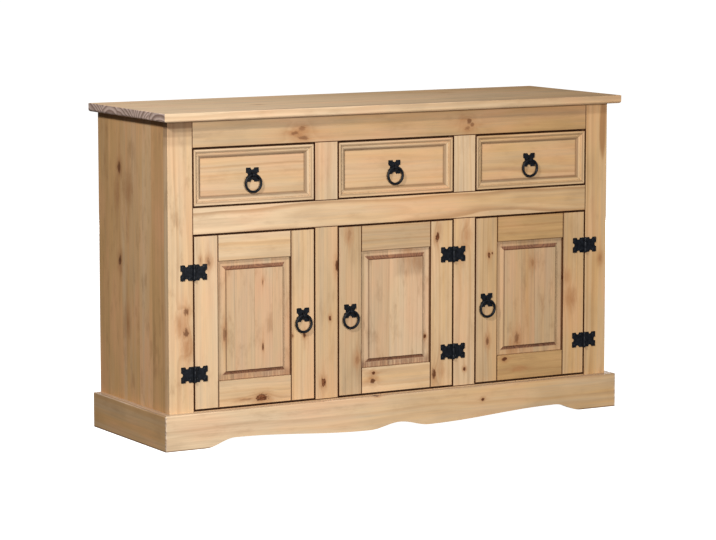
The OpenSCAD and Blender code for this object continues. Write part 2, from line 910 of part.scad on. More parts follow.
// The backplate with the eye that the ring hangs in. The plate lies on the plane y = 0
// and the eye's hole is at z = 0.
module pull_plate() {
    eye_r = eye_hole_r + eye_wall;
    color(iron) difference() {
        union() {
            along_y(-plate_t / 2, 0) plate_outline(plate_size, plate_notch_r);
            along_y(-plate_t, 0) plate_outline(plate_size - 2 * plate_step, plate_notch_r + plate_step);
            along_x(-eye_l / 2, eye_l / 2) translate([-ring_stand, 0]) circle(eye_r);
            block([-eye_l / 2, -ring_stand, -eye_r], [eye_l / 2, -plate_t / 2, eye_r]);
        }
        along_x(-eye_l / 2 - over, eye_l / 2 + over) translate([-ring_stand, 0]) circle(eye_hole_r);
    }
}

// The ring, hanging in the eye by the top of its wire
module pull_ring() {
    color(iron)
    translate([0, -ring_stand, -ring_r])
        rotate([90, 0, 0]) rotate_extrude() translate([ring_r, 0]) circle(wire_r, $fn = 24);
}

module at_door_pull(bay) {
    translate([door_pull_x(bay), front_y, (door_z0 + door_z1) / 2]) children();
}

module at_drawer_pull(bay) {
    translate([bay_x[bay], drawer_face_y, (drawer_z0 + drawer_z1) / 2]) children();
}

// Puts a door or drawer that is drawn in the middle into its bay
module in_bay(bay) {
    translate([bay_x[bay], 0, 0]) children();
}

// The tails on the front end of one drawer side, which are also their sockets
module tails(s) {
    pitch = drawer_side_h / tail_count;
    along_x(s > 0 ? drawer_in : -drawer_half, s > 0 ? drawer_half : -drawer_in)
    for (i = [0:tail_count - 1]) {
        z = drawer_z0 + pitch * (i + 0.5);
        shoulder = tail_w / 2;
        end = shoulder + tail_flare;
        polygon([[drawer_front_back_y - tail_l, z - end],
                 [drawer_front_back_y, z - shoulder],
                 [drawer_front_back_y + over, z - shoulder],
                 [drawer_front_back_y + over, z + shoulder],
                 [drawer_front_back_y, z + shoulder],
                 [drawer_front_back_y - tail_l, z + end]]);
    }
}

// The drawer's bottom, which slides in under the back board
module bottom_sheet() {
    block([-drawer_in - drawer_groove, drawer_front_back_y - drawer_groove, bottom_z],
          [drawer_in + drawer_groove, drawer_back_y - back_inset, bottom_z + drawer_bottom_t]);
}

// The drawer's back board, or its housing in the sides: room is the glue line and
// top_z the upper end
module back_sheet(room, top_z) {
    block([-drawer_in - drawer_groove + room, drawer_back_y - back_inset - drawer_side_t + room,
           bottom_z + drawer_bottom_t],
          [drawer_in + drawer_groove - room, drawer_back_y - back_inset - room, top_z]);
}

// The board behind the moulding, with sockets for the tails and a groove for the bottom
module drawer_front() {
    color(pine)
    difference() {
        block([-drawer_half, drawer_face_y, drawer_z0],
              [drawer_half, drawer_front_back_y, drawer_z1]);
        tails(-1);
        tails(1);
        bottom_sheet();
    }
}

// Two dovetailed sides and the back board
module drawer_box() {
    color(pine_light)
    for (s = [-1, 1]) {
        difference() {
            union() {
                block([s > 0 ? drawer_in : -drawer_half, drawer_front_back_y, drawer_z0],
                      [s > 0 ? drawer_half : -drawer_in, drawer_back_y,
                       drawer_z0 + drawer_side_h]);
                tails(s);
            }
            bottom_sheet();
            back_sheet(0, drawer_z0 + drawer_side_h + over);
            block([s > 0 ? drawer_in - over : -drawer_in - drawer_groove,
                   drawer_front_back_y - tail_l - over, bottom_z],
                  [s > 0 ? drawer_in + drawer_groove : -drawer_in + over,
                   drawer_back_y + over, bottom_z + drawer_bottom_t]);
        }
    }
    color(pine_light) back_sheet(glue_line, drawer_z0 + drawer_side_h - back_drop);
}

module drawer_bottom() {
    color(pine_light) bottom_sheet();
}

// The moulding's section: its first number runs from the drawer's edge inwards and the
// second stands over the field. A flat rim falls in a round to a valley, and from there a
// bead swells and falls to a thin lip.
function moulding_section() = concat(
    [[0, 0], [0, moulding_h - rim_slope], [rim_slope, moulding_h]],
    [for (i = [0:curve_steps])
        [rim_w + (valley_w - rim_w) * sin(90 * i / curve_steps),
         valley_h + (moulding_h - valley_h) * cos(90 * i / curve_steps)]],
    [for (i = [1:curve_steps])
        [ease(valley_w, moulding_w, i / curve_steps),
         ease(valley_h, lip_h, i / curve_steps) + bead_swell * sin(180 * i / curve_steps)]],
    [[moulding_w, 0]]);

// Four lengths of moulding, mitred round the drawer's field
module drawer_moulding() {
    section = moulding_section();
    // The mitres start a little outside the moulding and end a little inside it
    reach = moulding_w + 2 * over;
    outer_x = drawer_half + over;
    mitre_x = outer_x - mitre_line;
    // Upper and lower lengths
    color(pine)
    for (up = [1, -1]) {
        edge_z = up > 0 ? drawer_z0 : drawer_z1;
        intersection() {
            along_x(-drawer_half, drawer_half)
                polygon([for (p = section) [drawer_face_y - p[1], edge_z + up * p[0]]]);
            along_y(front_y - over, drawer_face_y + over)
                polygon([[-mitre_x, edge_z - up * over], [mitre_x, edge_z - up * over],
                         [mitre_x - reach, edge_z + up * (reach - over)],
                         [reach - mitre_x, edge_z + up * (reach - over)]]);
        }
    }
    // Side lengths
    color(pine)
    for (s = [-1, 1]) {
        intersection() {
            along_z(drawer_z0, drawer_z1)
                polygon([for (p = section) [s * (drawer_half - p[0]), drawer_face_y - p[1]]]);
            along_y(front_y - over, drawer_face_y + over)
                polygon([[s * outer_x, drawer_z0 - over], [s * outer_x, drawer_z1 + over],
                         [s * (outer_x - reach), drawer_z1 + over - reach],
                         [s * (outer_x - reach), drawer_z0 - over + reach]]);
        }
    }
}

// Magnetic catches under the dust panel, behind the free edge of each door
module door_catches() {
    magnet = catch_h / 3;
    color(steel)
    for (bay = [LEFT:RIGHT]) {
        translate([door_pull_x(bay), door_back_y + catch_gap, middle_rail_z]) {
            block([-catch_w / 2, catch_gap, -catch_h], [catch_w / 2, catch_d, 0]);
            block([-catch_w / 3, 0, -2 * magnet], [catch_w / 3, catch_d, -magnet]);
        }
    }
}

top_panel();
left_side_panel();
right_side_panel();
left_post();
right_post();
top_rail();
middle_rail();
bottom_rail();
mullions();
plinth_front();
plinth_sides();
cupboard_floor();
dust_panel();
partitions();
shelves();
shelf_pins();
drawer_runners();
drawer_kickers();
back_rails();
back_boards();
hinge_frame_leaves();
hinge_pins();
door_catches();

in_bay(LEFT) drawer_front();  // left_drawer_front
in_bay(LEFT) drawer_moulding();  // left_drawer_moulding
in_bay(LEFT) drawer_box();  // left_drawer_box
in_bay(LEFT) drawer_bottom();  // left_drawer_bottom
at_drawer_pull(LEFT) pull_plate();  // left_drawer_plate
at_drawer_pull(LEFT) pull_ring();  // left_drawer_ring
in_bay(MIDDLE) drawer_front();  // middle_drawer_front
in_bay(MIDDLE) drawer_moulding();  // middle_drawer_moulding
in_bay(MIDDLE) drawer_box();  // middle_drawer_box
in_bay(MIDDLE) drawer_bottom();  // middle_drawer_bottom
at_drawer_pull(MIDDLE) pull_plate();  // middle_drawer_plate
at_drawer_pull(MIDDLE) pull_ring();  // middle_drawer_ring
in_bay(RIGHT) drawer_front();  // right_drawer_front
in_bay(RIGHT) drawer_moulding();  // right_drawer_moulding
in_bay(RIGHT) drawer_box();  // right_drawer_box
in_bay(RIGHT) drawer_bottom();  // right_drawer_bottom
at_drawer_pull(RIGHT) pull_plate();  // right_drawer_plate
at_drawer_pull(RIGHT) pull_ring();  // right_drawer_ring

in_bay(LEFT) door_stiles();  // left_door_stiles
in_bay(LEFT) door_rails();  // left_door_rails
in_bay(LEFT) door_panel();  // left_door_panel
door_leaves(LEFT);  // left_door_leaves
at_door_pull(LEFT) pull_plate();  // left_door_plate
at_door_pull(LEFT) pull_ring();  // left_door_ring
in_bay(MIDDLE) door_stiles();  // middle_door_stiles
in_bay(MIDDLE) door_rails();  // middle_door_rails
in_bay(MIDDLE) door_panel();  // middle_door_panel
door_leaves(MIDDLE);  // middle_door_leaves
at_door_pull(MIDDLE) pull_plate();  // middle_door_plate
at_door_pull(MIDDLE) pull_ring();  // middle_door_ring
in_bay(RIGHT) door_stiles();  // right_door_stiles
in_bay(RIGHT) door_rails();  // right_door_rails
in_bay(RIGHT) door_panel();  // right_door_panel
door_leaves(RIGHT);  // right_door_leaves
at_door_pull(RIGHT) pull_plate();  // right_door_plate
at_door_pull(RIGHT) pull_ring();  // right_door_ring
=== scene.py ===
# %% [markdown]
# # A waxed pine sideboard
#
# This lesson dresses a sideboard with three drawers over three panelled doors. The boards,
# joints, hinges and ring pulls come from a CAD model that is loaded as a fixed frame. What is
# left to do here is what a finisher does in the workshop: ease the sharp edges, give every
# board its own grain, knots and wax, blacken the iron, and put in the screws, nails, nuts and
# strike plates that the real one has. At the end come the camera, a studio floor and the light.
#
# Everything is in metres. X runs along the front from left to right, Y from the front to the
# back, and Z up from the floor.

# %% Load the frame
import json
import math

import bmesh
import bpy
import numpy as np
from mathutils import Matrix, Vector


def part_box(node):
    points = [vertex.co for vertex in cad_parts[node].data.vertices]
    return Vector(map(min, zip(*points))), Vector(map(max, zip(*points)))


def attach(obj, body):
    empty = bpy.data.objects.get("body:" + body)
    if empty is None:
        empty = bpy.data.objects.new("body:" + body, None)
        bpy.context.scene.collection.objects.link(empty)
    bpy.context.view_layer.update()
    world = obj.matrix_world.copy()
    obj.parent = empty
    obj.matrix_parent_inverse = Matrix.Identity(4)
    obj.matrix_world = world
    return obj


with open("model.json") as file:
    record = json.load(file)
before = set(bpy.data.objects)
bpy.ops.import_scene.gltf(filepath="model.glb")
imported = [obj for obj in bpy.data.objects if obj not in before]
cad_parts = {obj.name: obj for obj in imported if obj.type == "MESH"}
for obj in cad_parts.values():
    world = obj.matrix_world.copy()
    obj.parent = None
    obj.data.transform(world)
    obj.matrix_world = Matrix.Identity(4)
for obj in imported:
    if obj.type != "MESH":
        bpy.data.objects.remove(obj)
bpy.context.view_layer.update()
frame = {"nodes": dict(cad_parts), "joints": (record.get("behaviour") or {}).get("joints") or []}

# %% [markdown]
# ## Sizes taken from the frame
#
# A piece that is added later has to sit exactly on what carries it. So its place is read from
# the boxes of the CAD nodes and not typed in again: the face of the frame, the back of the
# doors, the middle of each bay. Typed in are only small sizes such as a screw head's radius, and
# the widths and heights of boards that share a node with others.

# %% Sizes taken from the frame
MM = 0.001
BAYS = ("left", "middle", "right")


def span(node, axis):
    """The lowest and highest coordinate of a CAD node along axis 0, 1 or 2."""
    low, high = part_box(node)
    return low[axis], high[axis]


def per_bay(*values):
    """One value for each bay, from left to right."""
    return dict(zip(BAYS, values))


def middle(node, axis):
    """The middle of a CAD node's box along axis 0, 1 or 2."""
    return sum(span(node, axis)) / 2


FRONT_Y = span("middle_rail", 1)[0]
DOOR_BACK_Y = span("left_door_stiles", 1)[1]
FRAME_BACK_Y = span("middle_rail", 1)[1]
BACK_Y = span("back_boards", 1)[1]
BAY_X = per_bay(*(middle(bay + "_door_rails", 0) for bay in BAYS))
print("front face at y =", round(FRONT_Y, 4), "bays at x =", BAY_X)

# %% [markdown]
# ## Writing materials as sums
#
# A material in Blender is a net of small nodes: one adds, one multiplies, one draws noise. Nets
# are quickly drawn by hand, but here they are long, so they are written down. `put` adds one
# node to the net that was laid on the bench last, gives it its inputs, and hands back its
# output, which goes into the next `put`. A few short names for the sums that come up most keep
# the later cells readable.

# %% Writing materials as sums
bench = []


def put(kind, inputs=(), output=0, **settings):
    """Adds one shader node: settings first, then inputs by place or by name, each a number or
    the output of another node. Hands back the output asked for."""
    net = bench[-1]
    node = net.nodes.new("ShaderNode" + kind)
    for name, value in settings.items():
        setattr(node, name, value)
    for key, value in inputs.items() if isinstance(inputs, dict) else enumerate(inputs):
        if isinstance(value, bpy.types.NodeSocket):
            net.links.new(value, node.inputs[key])
        else:
            node.inputs[key].default_value = value
    return None if output is None else node.outputs[output]


def calc(operation, *values):
    """One sum of up to three numbers."""
    return put("Math", values, operation=operation)


def times(first, second, *plus):
    """first times second, and plus a third if one is given."""
    return calc("MULTIPLY_ADD" if plus else "MULTIPLY", first, second, *plus)


def add_all(first, *others):
    """The sum of any number of values."""
    for other in others:
        first = calc("ADD", first, other)
    return first


def rise(value, start, end):
    """A smooth step from 0 before start to 1 after end."""
    return put("MapRange", (value, start, end), interpolation_type="SMOOTHSTEP")


def parts_of(vector):
    """The three numbers of a vector."""
    return put("SeparateXYZ", (vector,)).node.outputs


def stretch(vector, scale):
    """vector times scale, axis by axis."""
    return put("VectorMath", (vector, scale), operation="MULTIPLY")


def noise(where, scale=1.0, detail=2.0, roughness=0.5):
    """Smooth noise about 0, from roughly -0.5 to 0.5."""
    value = put("TexNoise", {"Vector": where, "Scale": scale, "Detail": detail,
                             "Roughness": roughness}, "Fac")
    return calc("SUBTRACT", value, 0.5)


def figure(where, along, across, detail=2.0, roughness=0.5):
    """Noise drawn out along the grain: how fine it is along x, and across it in y and z."""
    return noise(stretch(where, (along, across, across)), 1.0, detail, roughness)


def blend(share, first, second):
    """Two colours mixed: none of the second at share 0, all of it at 1."""
    return put("Mix", {0: share, 6: first, 7: second}, 2, data_type="RGBA")


def lit(color, light):
    """A colour made lighter or darker."""
    return put("VectorMath", {0: color, 3: light}, operation="SCALE")


def linear(red, green, blue):
    """A colour as a screen shows it, 0 to 255 each, as the light it stands for."""
    return tuple((c / 255 / 12.92 if c < 10.3 else ((c / 255 + 0.055) / 1.055) ** 2.4)
                 for c in (red, green, blue)) + (1.0,)


def new_group(name, inputs, outputs):
    """A node group, and what comes out of its input node and into its output node. Its sockets
    are named in a line of text. They are numbers, or of the kind that stands after a colon."""
    tree = bpy.data.node_groups.new(name, "ShaderNodeTree")
    for way, sockets in (("INPUT", inputs), ("OUTPUT", outputs)):
        for socket in sockets.split():
            title, _, kind = socket.partition(":")
            kind = "NodeSocket" + (kind or "Float")
            tree.interface.new_socket(title, in_out=way, socket_type=kind)
    bench.append(tree)
    given, made = (tree.nodes.new("NodeGroup" + way) for way in ("Input", "Output"))
    return tree, given.outputs, made.inputs


def hand_out(made, **values):
    """Links each value to the output of a group that has its name."""
    for name, value in values.items():
        bench[-1].links.new(value, made[name])


def use_group(group, **inputs):
    """Puts a group into a net and hands back its outputs by name."""
    return put("Group", inputs, node_tree=group).node.outputs


def new_material(name):
    """A material with an empty net, and the place and normal of the point that is shaded."""
    material = bpy.data.materials.new(name)
    material.use_nodes = True
    material.node_tree.nodes.clear()
    bench.append(material.node_tree)
    return material, put("TexCoord").node.outputs


def cover(**inputs):
    """Ends a net with the surface shader. An underscore stands for a space in a socket's name."""
    inputs = {name.replace("_", " "): value for name, value in inputs.items()}
    put("OutputMaterial", (put("BsdfPrincipled", inputs),), None)


print("what a screen shows as 188 is", round(linear(188, 188, 188)[0], 2), "of full light")

# %% [markdown]
# ## The knot
#
# A knot is the root of a branch. The saw cuts it across, so the board shows a dark disc with
# rings of its own, and the grain of the board flows round it like water round a stone. Paint
# could fake this with a picture, but a picture would not reach round the edge of the board. So
# the knot is worked out in space: it is a rod that runs through the board from face to back.
#
# The distance d from the rod's middle is counted in knot radii, with a little noise so that it
# is no perfect circle. `Bend` is a hill that later pushes the year rings aside. `Disc` is 1
# inside the knot and falls to 0 just past its edge, and `Halo` is the resin-soaked wood round
# it, with two tails that fade slowly along the grain, the way resin creeps. `Dark` says how dark
# the core is: most of this sideboard's knots are only smudges, and some only a brown haze.

# %% The knot
knot_group, knot_in, knot_out = new_group(
    "pine knot", "Board:Vector Place:Vector Radius Length Dark Bend Disc Halo", "Bend Disc Halo")


def draw_knot(given, made):
    """x along and y across the grain are counted in radii, x also in lengths. The distance d is
    |(x, y)| + noise, the hill is 1.3 radius exp(-(x^2 + y^2) / 4), disc and halo fall with d,
    and the tails are 0.8 exp(-(0.07 x^2 + 1.3 y^2)). What earlier knots made comes in: hills
    add up, and of discs and of haloes the stronger goes out."""
    away = put("VectorMath", (given["Board"], given["Place"]), operation="SUBTRACT")
    x, y, _ = parts_of(away)
    x = calc("DIVIDE", x, times(given["Radius"], given["Length"]))
    y = calc("DIVIDE", y, given["Radius"])
    ahead, aside = times(x, x), times(y, y)
    square = calc("ADD", ahead, aside)
    wobble = noise(stretch(given["Board"], (70, 160, 40)), 1.0, 4.0, 0.7)
    d = times(wobble, 2.2, calc("SQRT", square))
    falling = calc("EXPONENT", calc("DIVIDE", square, -4.0))
    hill = times(times(falling, given["Radius"]), 1.3)
    disc = times(rise(d, 1.4, 0.45), given["Dark"])
    spread = times(aside, 1.3, times(ahead, 0.07))
    tail = times(calc("EXPONENT", times(spread, -1.0)), 0.8)
    halo = calc("MAXIMUM", rise(d, 3.4, 0.5), tail)
    hand_out(made, Bend=calc("ADD", given["Bend"], hill),
             Disc=calc("MAXIMUM", given["Disc"], disc),
             Halo=calc("MAXIMUM", given["Halo"], halo))


draw_knot(knot_in, knot_out)
print("knot group:", len(knot_group.nodes), "nodes")

# %% [markdown]
# ## Grain as it grows
#
# A tree adds one ring a year, pale in spring and thin and dark in late summer. A board is a
# slice through those rings, so the same rings give long arches on a face near the heart,
# straight lines on a face cut across them, and arcs on the sawn end. If the pattern is worked
# out from the distance to the heart, all faces of a board agree by themselves.
#
# `Board` is the place in the board's own directions: x along the grain, y across the face and
# z into the board. The rings are at r = |(y, z) - heart| + slow noise + Bend, and
# r / ring width counts the years. The part after the comma goes from 0 to 1 through one year:
# dark near its end, then at once pale. Few years leave a strong line, so each draws its own
# strength, but a sawn end drinks the wax and every line is dark there.
#
# More noises are laid over the rings: streaks, clouds, brown smudges, fine fibres and short
# resin ducts. They are drawn out along the grain, as the wood's cells are.

# %% Grain as it grows
pine_group, pine_in, pine_out = new_group(
    "pine wood",
    "Board:Vector Seed Heart:Vector Ring Bend Disc Halo End Line Gold Rose Grain Shade Smudge "
    "Pale:Color Honey:Color Sawn:Color",
    "Color:Color Height Roughness")

LATE_WOOD = linear(156, 108, 66)
ROSE_WOOD = linear(194, 142, 108)
KNOT_HEART = linear(146, 94, 60)
KNOT_RIM = linear(92, 52, 30)
RESIN_HALO = linear(170, 118, 76)
SAWN_END = linear(168, 134, 112)
PANEL_END = linear(150, 106, 78)
TOP_END = linear(208, 184, 170)
END_RING = linear(112, 76, 62)
# Pale wood where the wax is rubbed off, also used as a painted highlight on the plinth's upper
# edge
WORN_AND_LIT_PALE = linear(222, 204, 184)
SMUDGE = linear(150, 108, 72)
# The dark of wax in the joints; the same colour also paints shade in the gaps, under the top and
# in the hollows
STAIN_AND_SHADE = linear(66, 25, 0)


def draw_pine(given, made):
    """Year rings from the distance to the heart, then streaks, smudges, fibres, knots, sawn
    ends and the dark lines, in that order: wax in the joints, and painted shade in the gaps and
    hollows."""
    # Each board draws its noises from a place of its own
    number = times(given["Seed"], 7.31)
    offset = put("CombineXYZ", (number, times(number, 1.7), times(number, -0.6)))
    place = put("VectorMath", (given["Board"], offset), operation="ADD")

    # Year rings, pushed about by two noises and by the knots
    slow = figure(place, 1.6, 7.0)
    quick = figure(place, 9.0, 60.0)
    to_heart = put("VectorMath", (given["Board"], given["Heart"]), operation="SUBTRACT")
    distance = put("VectorMath", (stretch(to_heart, (0, 1, 1)),), "Value", operation="LENGTH")
    r = add_all(distance, times(slow, 0.03), times(quick, 0.0022), given["Bend"])
    years = calc("DIVIDE", r, given["Ring"])
    good_years = put("TexNoise", {"W": years, "Scale": 0.31, "Detail": 1.0}, "Fac",
                     noise_dimensions="1D")
    years = times(good_years, 2.2, years)
    season = calc("FRACT", years)
    ring_line = times(rise(season, 0.2, 0.8), rise(season, 1.0, 0.86))
    luck = put("TexWhiteNoise", {"W": calc("FLOOR", years)}, "Value", noise_dimensions="1D")
    late = times(ring_line, times(calc("POWER", luck, 3.0), 0.85, 0.15))

    # What is drawn out along the grain
    broad = figure(place, 1.4, 26.0, 3.0, 0.6)
    streak = figure(place, 2.2, 120.0, 4.0, 0.8)
    fibre = figure(place, 22.0, 1500.0, 2.0, 0.7)
    cloud = figure(place, 5.0, 14.0, 3.0)
    patch = figure(place, 12.0, 34.0, 4.0, 0.65)
    duct = rise(figure(place, 90.0, 1300.0), 0.19, 0.27)

    # From pale to honey, then rose, late wood and smudges, and how light it all is
    honey_share = times(broad, 1.5, calc("ADD", given["Gold"], 0.35))
    honey_share = put("Clamp", (times(streak, 0.7, honey_share),))
    color = blend(honey_share, given["Pale"], given["Honey"])
    rose_share = put("Clamp", (times(cloud, 1.6, given["Rose"]),))
    color = blend(rose_share, color, ROSE_WOOD)
    color = blend(times(late, given["Grain"]), color, LATE_WOOD)
    smudge_share = times(rise(patch, 0.0, 0.24), given["Smudge"])
    color = blend(smudge_share, color, SMUDGE)
    light = given["Shade"]
    strengths = (fibre, 0.22), (streak, 0.6), (broad, 0.5), (cloud, 0.6), (duct, -0.12)
    for pattern, strength in strengths:
        light = times(pattern, strength, light)
    color = lit(color, light)

    # Knots: a haze round each, a dark rim, and a heart with rings
    uneven = times(streak, 0.8, times(patch, 1.1, 0.6))
    haze = put("Clamp", (times(given["Halo"], uneven),))
    color = blend(haze, color, RESIN_HALO)
    knot_ring = noise(stretch(place, (160.0, 260.0, 60.0)), 1.0, 2.0)
    heart = blend(rise(knot_ring, -0.12, 0.16), KNOT_RIM, KNOT_HEART)
    rim = times(rise(given["Disc"], 0.0, 0.5), rise(given["Disc"], 1.0, 0.55))
    heart = blend(rim, heart, KNOT_RIM)
    color = blend(rise(given["Disc"], 0.02, 0.6), color, heart)

    # Sawn ends, then the dark lines of wax and of painted shade on top of it all
    end_color = blend(times(ring_line, 0.7), given["Sawn"], END_RING)
    color = blend(given["End"], color, lit(end_color, light))
    color = blend(given["Line"], color, STAIN_AND_SHADE)

    height = add_all(times(late, 0.5), times(fibre, 0.5), times(duct, -0.6),
                     times(given["Disc"], 0.6))
    rough = times(fibre, 0.12, times(late, -0.08))
    rough = times(given["End"], 0.18, rough)
    rough = times(given["Line"], 0.4, rough)
    hand_out(made, Color=color, Height=height, Roughness=rough)


draw_pine(pine_in, pine_out)
print("pine group:", len(pine_group.nodes), "nodes")

# %% [markdown]
# ## Which board, which way, and where the wax lies
#
# Each CAD node gets a material of its own, because each is cut from another plank. Some nodes
# are more than one board: a door has two stiles, and a side is glued up from staves. So a few
# questions come first. Which way does the grain run? `turn` says which axes of the sideboard are
# the board's x, y and z, so "zxy" is an upright board that faces the front. Which board is it?
# `stepped` is a stair with a step wherever a board ends. Where was the tree's heart?
# `board_heart` draws it from the board's number.
#
# Dark wax in the joints, and the shade that is painted into the gaps, under the top and in the
# hollows, could be painted on as a picture, but they lie along straight edges. So they are placed
# by the distance from a plane, or from a rectangle's sides where they turn corners.

# %% Which board, which way, and where the wax lies
AXES = {"x": 0, "y": 1, "z": 2}


def turned(vector, turn):
    """A vector with its axes in the order of turn."""
    parts = parts_of(vector)
    return put("CombineXYZ", [parts[AXES[axis]] for axis in turn])


def straight(source, turn):
    """Place, normal and mitre line in the directions of a board whose grain runs one way."""
    return turned(source["Object"], turn), turned(source["Normal"], turn), 0.0


def stepped(value, cuts, steps):
    """The first of steps, or the second past the first cut, and so on."""
    level = steps[0]
    for where, before, after in zip(cuts, steps, steps[1:]):
        level = times(calc("GREATER_THAN", value, where), after - before, level)
    return level


def board_heart(value, staves, number):
    """Where the tree's heart lies behind a board. The board's middle jumps at each stave. Three
    random numbers are drawn from the board's number: the first moves the heart sideways, the
    second in depth, and the last two are handed on."""
    middles = [(a + b) / 2 for a, b in zip(staves, staves[1:])]
    centre = stepped(value, staves[1:], middles)
    drawn = put("TexWhiteNoise", {"W": number}, "Color", noise_dimensions="1D")
    luck = parts_of(drawn)
    side = calc("ADD", times(luck[0], 0.15, -0.075), centre)
    return side, times(luck[1], 0.1, 0.03), luck[1], luck[2]


def away_from(value, where):
    """How far a value is from a place, on either side."""
    return calc("ABSOLUTE", calc("SUBTRACT", value, where))


def near(value, where, half):
    """1 within 0.7 times half of a place, falling to 0 at twice half."""
    return rise(away_from(value, where), 2.0 * half, 0.7 * half)


def from_frame(place, box):
    """How far a place lies inside the ends and inside the lower and upper edge of a rectangle,
    which is given by its span in x and in z."""
    x, _, z = parts_of(place)
    return [calc("SUBTRACT", (high - low) / 2, away_from(part, (low + high) / 2))
            for part, (low, high) in zip((x, z), box)]


def darker(line, value, where, half, dark):
    """The stronger of the lines so far and one more."""
    return calc("MAXIMUM", line, times(near(value, where, half), dark))


def edges(axis, places, half, dark):
    """The same line at several places."""
    return [(axis, place, half, dark) for place in places]


print("lines at both edges of an 80 mm board:", edges("x", (0.0, 80 * MM), 1 * MM, 0.5))

# %% [markdown]
# ## From a plank to a material
#
# `wood` puts it together, and each of its steps is a short function. Sawn ends show where the
# surface looks along the grain: that is read from the piece's own normal, so it stays right when
# a door turns. It is also why the raised panels have a dark round above and below and pale ones
# at their sides: the cutter went across the grain there. Where wear or a dull cutter has left
# that look on a flat surface, `ends` adds it as a band, torn into streaks.
#
# The gaps of the front are darkest: painted shade, with the wax that gathers there. The stain of
# such `lines` fades within 15 mm behind it, so that an opened door doesn't show black edges.
# `frames` don't fade. The front is pale at the left and more golden and a little darker to the
# right, partly the wood's tone and partly a painted sheen at the left and painted falloff of the
# light to the right, and `tone_and_light_slope` says how fast that changes.

# %% From a plank to a material
PALE_WAX = linear(222, 193, 157)
HONEY_WAX = linear(196, 156, 106)
DEEP_HONEY = linear(189, 148, 100)
# Paler at the left, golden and darker to the right: partly the wood's tone, partly a painted sheen
# at the left and painted falloff of the light
TONE_AND_LIGHT_SLOPE = 0.28
BARE = {"pale": linear(220, 194, 158), "honey": linear(206, 172, 130), "tone_and_light_slope": 0.0,
        "relief": 0.12 * MM, "rough": 0.72, "shine": 0.08}
GLUE_LINE = (0.3 * MM, 0.35)
FADES = (FRONT_Y + 15 * MM, FRONT_Y + 3 * MM)


def board_number(along, across, staves, splits, seed):
    """seed plus 1 for each stave's edge across the grain, and plus 31 for each split along it."""
    number = stepped(across, staves[1:], [seed + i for i in range(len(staves) - 1)])
    if splits:
        rows = stepped(along, splits, [31.0 * i for i in range(len(splits) + 1)])
        number = calc("ADD", number, rows)
    return number


def knots_in(board, knots):
    """What all knots of a node do to the wood, one after the other."""
    made = {"Bend": 0.0, "Disc": 0.0, "Halo": 0.0}
    for x, y, radius, length, dark in knots:
        found = use_group(knot_group, Board=board, Place=(x, y, 0.0), Radius=radius,
                          Length=length, Dark=dark, **made)
        made = {key: found[key] for key in made}
    return made


def wax_and_shade_in(place, line, lines, frames):
    """Dark wax and painted shade: lines that fade behind the front, then frames that don't."""
    axes = parts_of(place)
    for axis, *stain in lines:
        line = darker(line, axes[AXES[axis]], *stain)
    if lines:
        line = times(line, rise(axes[1], *FADES))
    for box, stains in frames:
        inwards = calc("MINIMUM", *from_frame(place, box))
        for stain in stains:
            line = darker(line, inwards, *stain)
    return line


def torn_in(board, place, end, sawn, ends, worn_and_lit):
    """Bands of sawn end in streaks: each is at least 0.3 and at most 1 of its share. With
    worn_and_lit the bands take that pale colour instead of sawn.
    """
    axes = parts_of(place)
    torn = rise(figure(board, 14.0, 240.0, 3.0, 0.7), -0.2, 0.15)
    for axis, where, half, share in ends:
        band = near(axes[AXES[axis]], where, half)
        band = times(band, times(torn, 0.7 * share, 0.3 * share))
        end = calc("MAXIMUM", end, band)
        if worn_and_lit:
            sawn = blend(rise(band, 0.0, 0.1), sawn, worn_and_lit)
    return end, sawn


